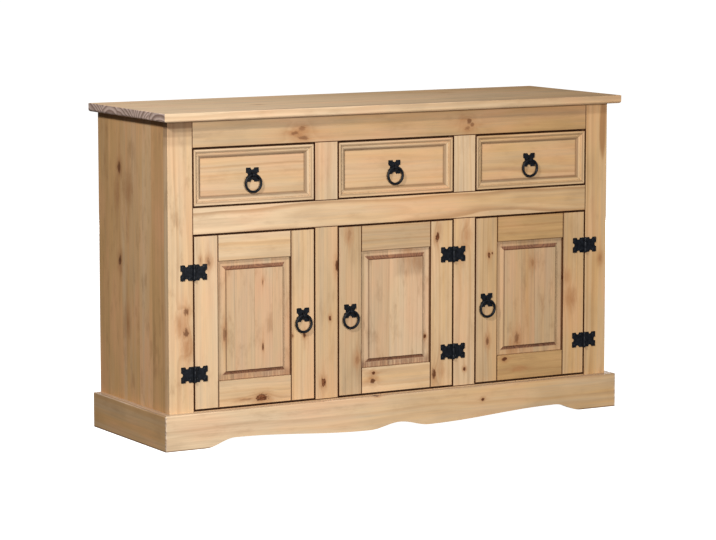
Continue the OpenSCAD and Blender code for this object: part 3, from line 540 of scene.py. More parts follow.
def wood(name, turn, staves, face=(0.0, 1.0), splits=(), knots=(), lines=(), seed=0.0,
         gold=0.0, rose=0.0, grain=0.3, shade=1.0, ring=7.5 * MM, sawn=SAWN_END, smudge=0.2,
         pale=PALE_WAX, honey=HONEY_WAX, tone_and_light_slope=TONE_AND_LIGHT_SLOPE, relief=0.06 * MM, rough=0.5,
         shine=0.14, directions=straight, cut_across=(0.15, 0.7), frames=(),
         tones=((0.0, 0.0),), ends=(), worn_and_lit=None):
    """One material for the boards of a node. turn gives the grain's direction first. staves are
    the edges of its boards across the grain, splits where another board starts along it, and
    face where the shown face lies and which way the wood is. A knot is (along, across, radius,
    length, dark), and a line is (axis, place, half width, dark). Each of frames is a rectangle
    and the stains along it, each (distance inwards, half width, dark). Lines and frames carry
    wax in the joints, resin stains, and painted shade in gaps and hollows. Each of ends is (axis,
    place, half width, share), of the colour sawn, or of worn_and_lit where that is given.
    cut_across says between which slopes against the grain a surface turns into sawn end, tones
    what each board adds to shade and to gold, and tone_and_light_slope how much more golden and
    darker the wood gets per metre to the right: partly its tone, partly painted sheen and falloff."""
    material, source = new_material(name)
    place = source["Object"]
    board, normal, line = directions(source, turn)
    along, across, _ = parts_of(board)
    number = board_number(along, across, staves, splits, seed)
    side, depth, dull, luck = board_heart(across, staves, number)
    heart = put("CombineXYZ", (0.0, side, times(depth, face[1], face[0])))
    for edge in staves[1:-1]:
        line = darker(line, across, edge, *GLUE_LINE)
    line = wax_and_shade_in(place, line, lines, frames)

    # Wood at the right is more golden and a little darker, partly its tone and partly painted
    # sheen at the left and painted falloff of light; each board has its own tone
    own_shade, own_gold = (stepped(across, staves[1:], steps) for steps in zip(*tones))
    x = parts_of(place)[0]
    gold = calc("ADD", own_gold, times(x, tone_and_light_slope, gold - 0.15))
    shade = calc("ADD", own_shade, times(x, -0.12 * tone_and_light_slope, shade + 0.05))
    end = rise(calc("ABSOLUTE", parts_of(normal)[0]), *cut_across)
    if ends:
        end, sawn = torn_in(board, place, end, sawn, ends, worn_and_lit)

    found = use_group(
        pine_group, Board=board, Seed=number, Heart=heart, Ring=ring, End=end, Line=line,
        Gold=times(luck, 0.3, gold), Rose=rose, Grain=grain, Smudge=smudge,
        Shade=times(dull, -0.1, shade), Pale=pale, Honey=honey, Sawn=sawn,
        **knots_in(board, knots))
    bump = put("Bump", {"Height": found["Height"], "Strength": 0.6, "Distance": relief})
    cover(Base_Color=found["Color"], Roughness=calc("ADD", found["Roughness"], rough),
          Normal=bump, IOR=1.45, Specular_IOR_Level=shine)
    return material


print("bare wood differs from waxed wood in", ", ".join(BARE))

# %% [markdown]
# ## Eased edges
#
# Nobody leaves a planed board with edges that cut. A few strokes of sandpaper take them off,
# and the thin bright lines this leaves are a good part of what makes wood look solid. Cast iron
# comes out of its mould with rounded edges too. The parts' own meshes stay as the CAD gave
# them: a Weld modifier joins their loose triangles and a Bevel modifier rounds each edge that
# turns by more than 35 degrees. At a joint the two small rounds make the fine groove that the
# real joint has.

# %% Eased edges
WOOD_EDGE = 0.6 * MM
IRON_EDGE = 0.35 * MM
SHARP = math.radians(35)


def dress(node, material, edge=WOOD_EDGE):
    """Puts a material on a CAD node in place of the plain one it came with, and rounds its sharp
    edges with modifiers, which leave the mesh alone."""
    part = frame["nodes"][node]
    for slot in part.material_slots:
        slot.material = material
    weld = part.modifiers.new("join triangles", "WELD")
    weld.merge_threshold = 0.005 * MM
    bevel = part.modifiers.new("eased edges", "BEVEL")
    bevel.width = edge
    bevel.segments = 2
    bevel.limit_method = "ANGLE"
    bevel.angle_limit = SHARP
    print(f"{node}: {material.name}")


# %% [markdown]
# ## The top and the sides
#
# The side is glued up from upright staves 50 to 100 mm wide, each from another plank, and so is
# the top, along its length. At the top's ends the saw has laid open the year rings. Under the top
# board a painted shadow of its overhang lies in a dark band that runs round the side and the left
# post. The knots that catch the eye are placed one by one.

# %% The top and the sides
JOINT = (0.8 * MM, 0.7)
left_x, right_x = span("left_side_panel", 0)[0], span("right_side_panel", 0)[1]
top_low, top_high = span("top_panel", 2)
BELOW_TOP = (-1, 1), (0, top_low)
# The sides' frame paints the shadow of the top's overhang, a dark band right under the top
SIDE_LOOK = {"grain": 0.14, "shade": 1.18, "smudge": 0.45, "honey": DEEP_HONEY,
             "lines": edges("y", (FRAME_BACK_Y,), *JOINT),
             "frames": ((BELOW_TOP, ((5 * MM, 7 * MM, 0.66),)),)}

dress("top_panel", wood(
    "top boards", "xyz", (-0.215, -0.128, -0.041, 0.046, 0.132, 0.215), (top_high, -1.0),
    seed=11.0, shade=0.98, tone_and_light_slope=0.55, sawn=TOP_END, ring=11 * MM,
    knots=((-0.32, -0.05, 0.006, 1.6, 0.2), (0.31, 0.09, 0.007, 1.5, 0.15))))
dress("left_side_panel", wood(
    "left side staves", "zyx", (FRAME_BACK_Y, -0.094, -0.022, 0.05, 0.15, BACK_Y),
    (left_x, 1.0), seed=23.0, gold=0.85, rose=0.08, **SIDE_LOOK,
    tones=((-0.05, 0.2), (0.05, -0.25), (0.05, -0.25), (0.02, -0.1), (0.02, -0.1)),
    knots=((0.668, 0.086, 0.0085, 1.8, 0.42), (0.435, 0.086, 0.0075, 2.0, 0.5),
           (0.619, 0.035, 0.012, 2.0, 0.0), (0.29, 0.048, 0.009, 2.6, 0.12),
           (0.6, 0.1, 0.008, 3.0, 0.0))))
dress("right_side_panel", wood(
    "right side staves", "zyx", (FRAME_BACK_Y, -0.11, -0.03, 0.055, 0.13, BACK_Y),
    (right_x, -1.0), seed=37.0, gold=0.35, rose=0.05, **SIDE_LOOK,
    knots=((0.57, -0.07, 0.006, 1.8, 0.8), (0.24, 0.095, 0.007, 1.7, 0.6),
           (0.71, 0.09, 0.005, 2.2, 0.5))))

# %% [markdown]
# ## The frame of the front
#
# Two posts, three rails and four short mullions make the frame. The openings are painted
# darkest, as shade in the gaps, with the wax that gathers there: a board that borders one gets a
# line at that edge, and so does the door or drawer across the gap. A dark line of painted shade
# runs under the top board, and a painted shadow of the top lies on the upper end of the left
# post. Two clusters of knots sit in the top rail, over the inner ends of the outer drawers, and
# two dark flecks on the left post.

# %% The frame of the front
FACE = (FRONT_Y, 1.0)
# Painted shade: near-black lines along the gaps round doors and drawers, with the wax that gathers
# there
GAP_SHADE = (1.1 * MM, 0.98)
GAP_ROOM = 2 * MM
# Painted contact shade: a dark line right under the top board
SHADE_UNDER_TOP = edges("z", (top_low,), 3.0 * MM, 0.75)
# Painted shadow of the top's overhang on the upper end of the left post, in three bands
POST_SHADOW = ((BELOW_TOP, ((8 * MM, 9 * MM, 0.7), (28 * MM, 9 * MM, 0.38),
                          (46 * MM, 10 * MM, 0.18))),)
drawer_low, drawer_high = span("middle_rail", 2)[1], span("top_rail", 2)[0]
door_low, door_high = span("bottom_rail", 2)[1], span("middle_rail", 2)[0]
half_opening = span("left_door_stiles", 0)[1] - BAY_X["left"] + GAP_ROOM
opening_x = [x + s * half_opening for x in BAY_X.values() for s in (-1, 1)]
RAIL_ENDS = edges("x", (opening_x[0], opening_x[-1]), *JOINT)

dress("left_post", wood(
    "left post", "zxy", span("left_post", 0), FACE, seed=3.0, gold=0.05, smudge=0.4,
    lines=edges("x", opening_x[:1], *GAP_SHADE) + SHADE_UNDER_TOP, frames=POST_SHADOW,
    knots=((0.336, -0.591, 0.007, 1.4, 0.4), (0.284, -0.591, 0.008, 1.5, 0.42),
           (0.25, -0.585, 0.011, 1.3, 0.0), (0.305, -0.6, 0.009, 2.0, 0.0))))
dress("right_post", wood(
    "right post", "zxy", span("right_post", 0), FACE, seed=8.0, gold=0.1, grain=0.9,
    ring=9 * MM, lines=edges("x", opening_x[-1:], *GAP_SHADE) + SHADE_UNDER_TOP,
    knots=((0.393, 0.621, 0.005, 2.2, 0.2),)))
dress("top_rail", wood(
    "top rail", "xzy", span("top_rail", 2), FACE, seed=5.0, gold=0.3, rose=0.1, shade=0.87,
    tone_and_light_slope=0.5, lines=SHADE_UNDER_TOP + edges("z", (drawer_high,), *GAP_SHADE) + RAIL_ENDS,
    knots=((-0.289, 0.757, 0.0055, 2.4, 0.34), (-0.266, 0.745, 0.0055, 2.6, 0.34),
           (-0.27, 0.768, 0.006, 1.6, 0.3), (-0.275, 0.757, 0.012, 1.3, 0.0),
           (0.213, 0.759, 0.011, 1.2, 0.0),
           (0.214, 0.767, 0.0065, 1.2, 0.4), (0.223, 0.758, 0.0055, 1.2, 0.35),
           (0.21, 0.75, 0.006, 1.4, 0.3), (0.2, 0.768, 0.007, 1.4, 0.1))))
dress("middle_rail", wood(
    "middle rail", "xzy", span("middle_rail", 2), FACE, seed=14.0, gold=-0.02, ring=6.5 * MM,
    tone_and_light_slope=0.6, grain=0.9, lines=edges("z", (drawer_low, door_high), *GAP_SHADE) + RAIL_ENDS))
dress("bottom_rail", wood(
    "bottom rail", "xzy", span("bottom_rail", 2), FACE, seed=19.0, shade=0.9,
    lines=edges("z", (door_low,), *GAP_SHADE)))
dress("mullions", wood(
    "mullions", "zxy", (-0.235, 0.0, 0.235), FACE, splits=(0.55,), seed=2.0, gold=0.05,
    rose=0.08, shade=0.96, tones=((0.0, 0.0), (0.05, -0.2)),
    lines=edges("x", opening_x[1:-1], *GAP_SHADE)
    + edges("z", (door_low, door_high, drawer_low, drawer_high), *JOINT),
    knots=((0.292, -0.191, 0.0035, 1.9, 0.8), (0.132, -0.211, 0.0055, 2.0, 0.9),
           (0.422, -0.171, 0.005, 3.0, 0.5), (0.133, 0.203, 0.0035, 1.3, 0.7),
           (0.43, 0.19, 0.006, 2.5, 0.2), (0.475, 0.205, 0.008, 1.6, 0.0))))

# %% [markdown]
# ## The plinth
#
# The plinth takes the knocks of brooms and shoes. The wax is rubbed off its mitred corners,
# where pale wood shows in streaks. Its upper edge and the ledge on top get that pale colour too,
# partly wear and partly a painted highlight where the light falls from above, and the lowest two
# millimetres are painted darker, as contact shade at the floor.

# %% The plinth
plinth_x, plinth_y = span("plinth_front", 0), span("plinth_front", 1)[0]
plinth_z = span("plinth_front", 2)
# The frame paints contact shade along the lowest 2 mm, where the plinth meets the floor
PLINTH_LOOK = {"worn_and_lit": WORN_AND_LIT_PALE, "frames": ((((-1, 1), (0, 2)), ((0.0, 2.0 * MM, 0.7),)),)}

# The pale bands at the corners are wear; the band on the upper edge and ledge is partly wear,
# partly painted highlight
dress("plinth_front", wood(
    "plinth front", "xzy", plinth_z, (plinth_y, 1.0), seed=41.0, gold=0.05, tone_and_light_slope=0.5,
    ring=10 * MM, grain=0.5, **PLINTH_LOOK,
    ends=edges("x", plinth_x, 2.2 * MM, 0.75) + edges("z", plinth_z[1:], 1.0 * MM, 0.4),
    knots=((0.247, 0.0525, 0.004, 1.2, 0.7), (-0.0655, 0.088, 0.002, 2.6, 0.6))))
dress("plinth_sides", wood(
    "plinth sides", "yzx", span("plinth_sides", 2), (plinth_x[0], 1.0), seed=43.0, gold=0.8,
    shade=1.06, honey=DEEP_HONEY, **PLINTH_LOOK,
    ends=edges("y", (plinth_y,), 3.5 * MM, 0.75) + edges("z", plinth_z[1:], 1.2 * MM, 0.7)))

# %% [markdown]
# ## How the doors differ
#
# Each door has two upright stiles with two rails between them and a raised panel that floats in
# their groove. No two are alike, so the knots and tones of each are written down. A panel's flat
# margin is cut across the grain above and below, and is rough and dark in streaks there: that is
# what the two margins say. Two soft rectangles stain the upper part of the middle panel, where
# resin has come through.

# %% How the doors differ
DOOR_KNOTS = {
    "left": {"stiles": ((0.453, -0.529, 0.005, 2.2, 0.35), (0.459, -0.551, 0.003, 2.4, 0.25),
                        (0.255, -0.264, 0.004, 1.8, 0.5), (0.256, -0.297, 0.002, 2.0, 0.4)),
             "rails": ((-0.384, 0.109, 0.0085, 1.9, 0.95), (-0.43, 0.108, 0.0028, 7.0, 0.25)),
             "panel": ((0.273, -0.484, 0.004, 4.0, 0.35), (0.235, -0.38, 0.0018, 5.0, 0.7),
                       (0.396, -0.38, 0.0016, 4.0, 0.4))},
    "middle": {"stiles": ((0.478, 0.121, 0.0055, 2.0, 0.85), (0.183, -0.113, 0.006, 2.0, 0.25),
                          (0.126, 0.112, 0.0065, 2.2, 0.5), (0.498, -0.136, 0.006, 2.4, 0.2),
                          (0.14, 0.13, 0.006, 2.4, 0.0), (0.497, 0.125, 0.005, 2.0, 0.0)),
               "rails": ((-0.066, 0.144, 0.0042, 1.3, 0.7), (-0.068, 0.124, 0.0065, 1.2, 0.5)),
               "panel": ((0.225, 0.089, 0.0035, 1.4, 0.7), (0.425, 0.064, 0.011, 1.3, 0.0),
                         (0.447, 0.04, 0.008, 1.6, 0.0))},
    "right": {"stiles": ((0.422, 0.276, 0.004, 1.8, 0.85), (0.426, 0.286, 0.002, 1.5, 0.5),
                         (0.35, 0.5, 0.0045, 1.6, 0.85), (0.297, 0.525, 0.009, 1.7, 0.0),
                         (0.35, 0.516, 0.006, 2.0, 0.1), (0.2, 0.273, 0.005, 2.2, 0.4)),
              "rails": ((0.325, 0.149, 0.005, 1.4, 0.65), (0.37, 0.12, 0.004, 3.0, 0.0)),
              "panel": ((0.394, 0.41, 0.006, 1.8, 0.22), (0.2, 0.362, 0.008, 2.2, 0.35),
                        (0.18, 0.35, 0.007, 2.0, 0.0))},
}
PANEL_STAVES = per_bay((-0.055, 0.0, 0.05), (-0.02,), (-0.027, 0.015))
GOLD = per_bay(0.1, 0.08, 0.1)
SHADE = per_bay(1.0, 0.94, 0.94)
# What each board of a door adds to shade and gold: left and right stile, lower and upper rail,
# and the staves of the panel from left to right
STILE_TONES = per_bay(((-0.02, -0.05), (0.0, 0.0)), ((-0.12, 0.15), (0.07, 0.0)),
                      ((-0.05, 0.2), (0.02, -0.05)))
RAIL_TONES = per_bay(((-0.05, -0.05), (0.02, 0.0)), ((0.07, -0.25), (-0.13, 0.05)),
                     ((0.03, 0.55), (-0.07, 0.45)))
PANEL_TONES = per_bay(((-0.04, 0.0), (-0.02, -0.1), (0.0, 0.0), (-0.03, 0.1)),
                      ((0.0, -0.05), (0.04, -0.3)),
                      ((0.03, -0.05), (-0.05, 0.1), (0.02, -0.1)))
LOWER_MARGIN = per_bay(0.6, 0.8, 0.0)
UPPER_MARGIN = per_bay(0.0, 0.1, 0.3)
# Soft rectangles, each its span in x and in z and its stain (distance inwards, half width, dark)
PANEL_STAIN = per_bay((), ((((-0.004, 0.082), (0.385, 0.433)), ((22 * MM, 15 * MM, 0.2),)),
                           (((0.048, 0.082), (0.395, 0.433)), ((16 * MM, 12 * MM, 0.25),))), ())
FIELD_SHADE = per_bay(1.0, 1.0, 1.05)
for bay, knots in DOOR_KNOTS.items():
    print(bay, "door:", sum(map(len, knots.values())), "knots")

# %% [markdown]
# ## Doors and drawers
#
# The grain runs the long way in every piece, so it turns a corner at each joint, and the wax has
# darkened the fine line between stile and rail. The drawer fronts lie with their grain level.
# Their moulding is cut at 45 degrees at the corners, so the grain there turns along the mitre:
# `mitred` takes one direction or the other by comparing how far a point is from the ends and
# from the upper and lower edge. Shade is painted round the panel and at its field's edge, in the
# moulding's valley and along its inner edge, and the field is darker along the foot of the
# moulding.

# %% Doors and drawers
STILE_W, DOOR_RAIL_W, MOULDING_W = 65.5 * MM, 65 * MM, 22 * MM
DOOR_JOINT = (1.25 * MM, 0.92)
MITRE_HALF, MITRE_DARK = 0.4 * MM, 0.4
# Painted shade under the upper door rail, where the panel meets it
PANEL_SHADE_LINE = (1.1 * MM, 0.6)
LOWER_BAND, UPPER_BAND = 13 * MM, 10 * MM
# Each (distance inwards, half width, dark). Round the panel and at its field's edge, and in the
# moulding's valley and along its inner edge, they are painted shade
PANEL_CREASE_SHADE = ((0.0, 1.1 * MM, 0.6), (22.5 * MM, 0.9 * MM, 0.45))
MOULDING_SHADE = ((20.5 * MM, 2.6 * MM, 0.5), (7.5 * MM, 1.3 * MM, 0.38))
# The field is darker along the foot of the moulding
FIELD_EDGE_DARK = ((0.0, 1.6 * MM, 0.4),)


def mitred(source, turn):
    """Place, normal and mitre line in a frame of mitred lengths. Near the two ends of the frame
    the grain is upright and elsewhere it is level. turn is the frame's span in x and in z."""
    from_end, from_edge = from_frame(source["Object"], turn)
    upright = calc("LESS_THAN", from_end, from_edge)
    ways = [put("Mix", {0: upright, 4: turned(source[name], "xzy"),
                        5: turned(source[name], "zxy")}, 1, data_type="VECTOR")
            for name in ("Object", "Normal")]
    apart = calc("SUBTRACT", from_end, from_edge)
    return *ways, times(near(apart, 0.0, MITRE_HALF), MITRE_DARK)


def dress_door(bay, seed):
    """Stiles, rails and panel of one door, from planks that are numbered from seed on."""
    door, knots = bay + "_door_", DOOR_KNOTS[bay]
    x, gold, shade = BAY_X[bay], GOLD[bay], SHADE[bay]
    start, end = span(door + "stiles", 0)
    low, high = span(door + "stiles", 2)
    joints = start + STILE_W, end - STILE_W
    panel_low, panel_high = low + DOOR_RAIL_W, high - DOOR_RAIL_W
    outline = edges("z", (low, high), *GAP_SHADE) + edges("x", joints, *DOOR_JOINT)
    dress(door + "stiles", wood(
        bay + " door stiles", "zxy", (start, x, end), FACE, seed=seed, gold=gold, shade=shade,
        knots=knots["stiles"], tones=STILE_TONES[bay],
        lines=edges("x", (start, end), *GAP_SHADE) + outline))
    dress(door + "rails", wood(
        bay + " door rails", "xzy", (low, (low + high) / 2, high), FACE, seed=seed + 2,
        gold=gold + 0.05, shade=shade, knots=knots["rails"], tones=RAIL_TONES[bay],
        lines=outline + edges("z", (panel_high,), *PANEL_SHADE_LINE)))
    panel_start, panel_end = span(door + "panel", 0)
    staves = (panel_start, *(x + edge for edge in PANEL_STAVES[bay]), panel_end)
    dress(door + "panel", wood(
        bay + " door panel", "zxy", staves, FACE, seed=seed + 4, gold=gold, rose=0.25,
        shade=shade - 0.05, ring=5 * MM, grain=0.2, knots=knots["panel"],
        tones=PANEL_TONES[bay], sawn=PANEL_END, cut_across=(0.03, 0.2), smudge=0.4,
        frames=(((joints, (panel_low, panel_high)), PANEL_CREASE_SHADE), *PANEL_STAIN[bay]),
        ends=[("z", panel_low, LOWER_BAND, LOWER_MARGIN[bay]),
              ("z", panel_high, UPPER_BAND, UPPER_MARGIN[bay])]))


def dress_drawer(bay, seed):
    """Front and moulding of one drawer. The field is what the moulding leaves free."""
    drawer = bay + "_drawer_"
    moulding = span(drawer + "moulding", 0), span(drawer + "moulding", 2)
    field = [(start + MOULDING_W, end - MOULDING_W) for start, end in moulding]
    dress(drawer + "front", wood(
        bay + " drawer front", "xzy", span(drawer + "front", 2), FACE, seed=seed,
        gold=GOLD[bay], rose=0.15, grain=0.35, shade=FIELD_SHADE[bay],
        frames=((field, FIELD_EDGE_DARK),)))
    dress(drawer + "moulding", wood(
        bay + " drawer moulding", moulding, moulding[1], FACE, seed=seed + 2, gold=GOLD[bay],
        directions=mitred, frames=((moulding, MOULDING_SHADE),),
        lines=edges("x", moulding[0], *GAP_SHADE) + edges("z", moulding[1], *GAP_SHADE)))


for count, bay in enumerate(BAYS):
    dress_door(bay, 51.0 + 7 * count)
    dress_drawer(bay, 71.0 + 5 * count)

# %% [markdown]
# ## What the wax never reached
#
# Inside, the boards are planed and left bare, so they are paler and dull. They get the same
# grain without the wax. The back is made of twelve upright boards, and the drawers have sides
# and a back of bare pine round a thin bottom.

# %% Bare boards inside and at the back
BACK_BOARDS = 12
back_edges = np.linspace(*span("back_boards", 0), BACK_BOARDS + 1).tolist()
depth_staves = (FRAME_BACK_Y, -0.07, 0.02, 0.11, span("back_boards", 1)[0])
runner_staves = (-0.62, -0.4, 0.0, 0.4, 0.62)
inside = {
    "cupboard_floor": wood("cupboard floor", "xyz", depth_staves, seed=91.0, **BARE),
    "dust_panel": wood("dust panel", "xyz", depth_staves, seed=92.0, **BARE),
    "partitions": wood("partitions", "zyx", depth_staves, seed=93.0, **BARE),
    "shelves": wood("shelves", "xyz", depth_staves, seed=94.0, **BARE,
                    splits=(BAY_X["left"] / 2, BAY_X["right"] / 2)),
    "drawer_runners": wood("runners", "yxz", runner_staves, seed=95.0, **BARE),
    "drawer_kickers": wood("kickers", "yxz", runner_staves, seed=96.0, **BARE),
    "back_rails": wood("back rails", "xzy", (0.02, 0.3, 0.65, 0.8), seed=97.0, **BARE),
    "back_boards": wood("back boards", "zxy", back_edges, (BACK_Y, -1.0), seed=98.0, **BARE,
                        knots=((0.61, -0.47, 0.007, 1.3, 0.9), (0.27, -0.21, 0.009, 1.2, 0.8),
                               (0.5, 0.16, 0.006, 1.5, 0.7), (0.18, 0.37, 0.008, 1.2, 0.9),
                               (0.7, 0.31, 0.006, 1.6, 0.6), (0.4, 0.57, 0.007, 1.4, 0.8))),
}
box_wood = wood("drawer sides", "yzx", span("left_drawer_box", 2), seed=101.0, **BARE)
bottom_wood = wood("drawer bottoms", "xyz", depth_staves, seed=103.0, grain=0.2, **BARE)
for bay in BAYS:
    inside.update({bay + "_drawer_box": box_wood, bay + "_drawer_bottom": bottom_wood})
for node, material in inside.items():
    dress(node, material)

# %% [markdown]
# ## Black iron and zinc
#
# The hinges, plates and rings are cast iron with a thin coat of black. Black things are not
# flat black: the skin of the casting is pitted, and the coat is a little glossier where hands
# have rubbed it. So the colour stays nearly black, and a coarse and a fine noise move the
# roughness and the bump. The catches, nuts, nails and shelf pins are zinc-plated steel, which
# is a metal: bright, with a brushed grain and cloudy patches where the zinc has dulled.

# %% Black iron and zinc
IRON_DARK = (0.003, 0.004, 0.006, 1.0)
IRON_WORN = (0.012, 0.014, 0.019, 1.0)
ZINC_BRIGHT = (0.62, 0.63, 0.62, 1.0)
ZINC_DULL = (0.40, 0.41, 0.41, 1.0)


def metal(name, dark, light, stretched, rough, uneven, pits, metallic):
    """Colour from dark to light by coarse noise, roughness rough plus or minus uneven by finer
    noise, and pits of both as bump. stretched pulls the fine noise out along one axis."""
    material, source = new_material(name)
    where = source["Object"]
    coarse = noise(where, 160.0, 3.0, 0.6)
    fine = noise(stretch(where, stretched), 1.0, 3.0, 0.6)
    bump = put("Bump", {"Height": times(coarse, 0.6, fine), "Strength": 0.8, "Distance": pits})
    cover(Base_Color=blend(rise(coarse, -0.2, 0.25), dark, light),
          Roughness=times(fine, uneven, rough), Normal=bump, Metallic=metallic, IOR=1.5,
          Specular_IOR_Level=0.5 if metallic else 0.18)
    return material


black_iron = metal("black iron", IRON_DARK, IRON_WORN, (900, 900, 900), 0.42, 0.5, 0.15 * MM, 0.0)
zinc_steel = metal("zinc steel", ZINC_DULL, ZINC_BRIGHT, (250, 2500, 2500), 0.38, 0.4,
                   0.03 * MM, 1.0)
IRON, ZINC = ("black_iron", black_iron), ("zinc_steel", zinc_steel)
for node in frame["nodes"]:
    if node == "hinge_pins" or node.endswith(("_plate", "_ring", "_leaves")):
        dress(node, black_iron, IRON_EDGE)
for node in ("shelf_pins", "door_catches"):
    dress(node, zinc_steel, IRON_EDGE)

# %% [markdown]
# ## Small things that are turned
#
# Screws, nuts, washers and nails are all made on a lathe or a heading machine, so they are
# surfaces of revolution: one outline, carried round an axis. In Blender one could start from a
# cylinder and cut at it by hand. Here the outline is a short table of radius and height, and
# numpy works out all points of the surface at once: row i holds the points at
# (r_i cos a, r_i sin a, h_i) for every angle a. The same few lines then give a washer, a hexagon
# nut and a domed nail, and the cross of a screw is a dent in the heights.
#
# The last helper puts copies of a shape where they are needed, joins them into one mesh, and
# hands the mesh to the body that carries it. The place is written into the points themselves,
# so that the piece's object stays at the origin, as the CAD nodes do.

# %% Turned shapes
FORWARD = np.array([[1, 0, 0], [0, 0, -1], [0, 1, 0]], float)
BACKWARD = np.array([[-1, 0, 0], [0, 0, 1], [0, 1, 0]], float)
FULL_TURN = 2 * math.pi
SMOOTH_UP_TO = math.radians(40)


def turns(around):
    """The angles of so many points on a circle."""
    return np.arange(around) * FULL_TURN / around


def skin(rows, around):
    """Quads between the neighbouring points of a grid of rows that closes on itself, with the
    outside to the right of the way the rows run."""
    row, step = np.meshgrid(np.arange(rows - 1), np.arange(around), indexing="ij")
    here, beside = row * around + step, row * around + (step + 1) % around
    return np.stack([here, beside, beside + around, here + around], axis=-1).reshape(-1, 4)


def revolved(outline, around):
    """outline has a row of radius, height and corners for each ring of points. A ring's points
    are (r k cos a, r k sin a, height), where k = 1 - corners + corners cos 30 / cos(a' - 30),
    and a' is a's rest after whole sixths of a turn, which makes a hexagon when corners is 1."""
    radius, height, corners = np.array(outline, float).T[:, :, None]
    angle = turns(around)
    sixth = FULL_TURN / 6
    hexagon = math.cos(sixth / 2) / np.cos(angle % sixth - sixth / 2)
    reach = radius * (1 - corners + corners * hexagon)
    points = np.stack([reach * np.cos(angle), reach * np.sin(angle),
                       np.broadcast_to(height, reach.shape)], axis=-1)
    return points.reshape(-1, 3), skin(len(outline), around)


def screw_head(radius, dome, around=28, rings=9):
    """A domed disc with a cross in it: at the radius r the height is dome (1 - (r / R)^2), less
    the cross, which has its full depth where the smaller of |x| and |y| is under 0.12 R and the
    larger under 0.5 R. Two last rings close it underneath."""
    share = np.linspace(0, 1, rings)[:, None]
    angle = turns(around)
    x, y = radius * share * np.cos(angle), radius * share * np.sin(angle)
    small, large = np.minimum(abs(x), abs(y)), np.maximum(abs(x), abs(y))
    cross = (np.clip((0.22 * radius - small) / (0.1 * radius), 0, 1)
             * np.clip((0.65 * radius - large) / (0.15 * radius), 0, 1))
    z = dome * (1 - share ** 2) - cross * (dome + 0.5 * MM)
    top = np.stack([x, y, z], axis=-1)
    under = top[-1:] * (1, 1, 0) - (0, 0, 0.7 * MM)
    points = np.concatenate([top, under, under * (0, 0, 1)])
    return points.reshape(-1, 3), skin(rings + 2, around)


def placed(shape, turn, places):
    """Copies of a shape, each turned by the same matrix and moved to its place."""
    points, faces = shape
    places = np.array(places, float)
    copies = (points @ turn.T)[None] + places[:, None]
    numbers = faces[None] + len(points) * np.arange(len(places))[:, None, None]
    return copies.reshape(-1, 3), numbers.reshape(-1, 4)


def millimetres(outline):
    """A table of radius and height in millimetres, in metres."""
    return np.array(outline, float) * (MM, MM, 1)


def piece(name, parts, body, slot, material):
    """One object from several sets of points and quads, closed at its poles, shaded smooth up
    to 40 degrees, that rides on a body."""
    points = np.concatenate([part[0] for part in parts])
    starts = np.cumsum([0] + [len(part[0]) for part in parts[:-1]])
    faces = np.concatenate([part[1] + start for part, start in zip(parts, starts)])
    mesh = bpy.data.meshes.new(name)
    mesh.from_pydata(points.tolist(), [], faces.tolist())
    shell = bmesh.new()
    shell.from_mesh(mesh)
    bmesh.ops.remove_doubles(shell, verts=shell.verts, dist=0.001 * MM)
    bmesh.ops.recalc_face_normals(shell, faces=shell.faces)
    shell.to_mesh(mesh)
    shell.free()
    mesh.shade_smooth()
    mesh.set_sharp_from_angle(angle=SMOOTH_UP_TO)
    mesh.materials.append(material)
    made = bpy.data.objects.new(name, mesh)
    bpy.context.scene.collection.objects.link(made)
    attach(made, body)
    print(f"{name}: {len(mesh.polygons)} faces on {body}")


print("a shape that is turned forward looks along", FORWARD[:, 2])

# %% [markdown]
# ## Screws in the hinges
#
# A butterfly hinge of this size is held by four screws in each leaf. They are black like the
# leaf, with low domes, so they show only as small glints. The places follow from the hinges: the
# joint of each door says where its pin stands and to which side the door hangs, and the leaves'
# box gives the height of the upper and the lower hinge. Screws in the frame's leaves ride on the
# carcass, and those in a door's leaves swing with the door.

# %% Screws in the hinges
NEAR_PIN, FAR_FROM_PIN = 9.5 * MM, 28.5 * MM
SCREW_UP = 12.5 * MM
HALF_HINGE = 19.5 * MM
LEAF_T = 2 * MM
leaf_face = span("left_door_leaves", 1)[1] - LEAF_T
hinges = {joint["child"]: (joint["pos_m"][0], joint["axis"][2])
          for joint in frame["joints"] if joint["name"].endswith("_door_swing")}
hinge_head = screw_head(3.1 * MM, 0.7 * MM)


def leaf_screws(pin_x, side, low, high):
    """Four screws in each leaf of the upper and the lower hinge, to one side of the pin."""
    return placed(hinge_head, FORWARD, [
        (pin_x + side * out, leaf_face, hinge_z + up)
        for hinge_z in (low + HALF_HINGE, high - HALF_HINGE)
        for out in (NEAR_PIN, FAR_FROM_PIN) for up in (-SCREW_UP, SCREW_UP)])


on_frame = []
for door, (pin_x, side) in hinges.items():
    low, high = span(door + "_leaves", 2)
    on_frame.append(leaf_screws(pin_x, side, low, high))
    piece(door + "_leaf_screws", [leaf_screws(pin_x, -side, low, high)], door, *IRON)
piece("frame_leaf_screws", on_frame, "carcass", *IRON)

# %% [markdown]
# ## Nuts behind the pulls
#
# Each ring pull is held by one bolt that goes through the board. Behind the board sit a washer,
# a hexagon nut and the rounded end of the bolt, which one sees in an opened drawer and on the
# back of an opened door. One outline gives all three, because they share an axis: out along the
# washer, up its edge, in to the nut, up its six sides, over its chamfer and over the bolt.

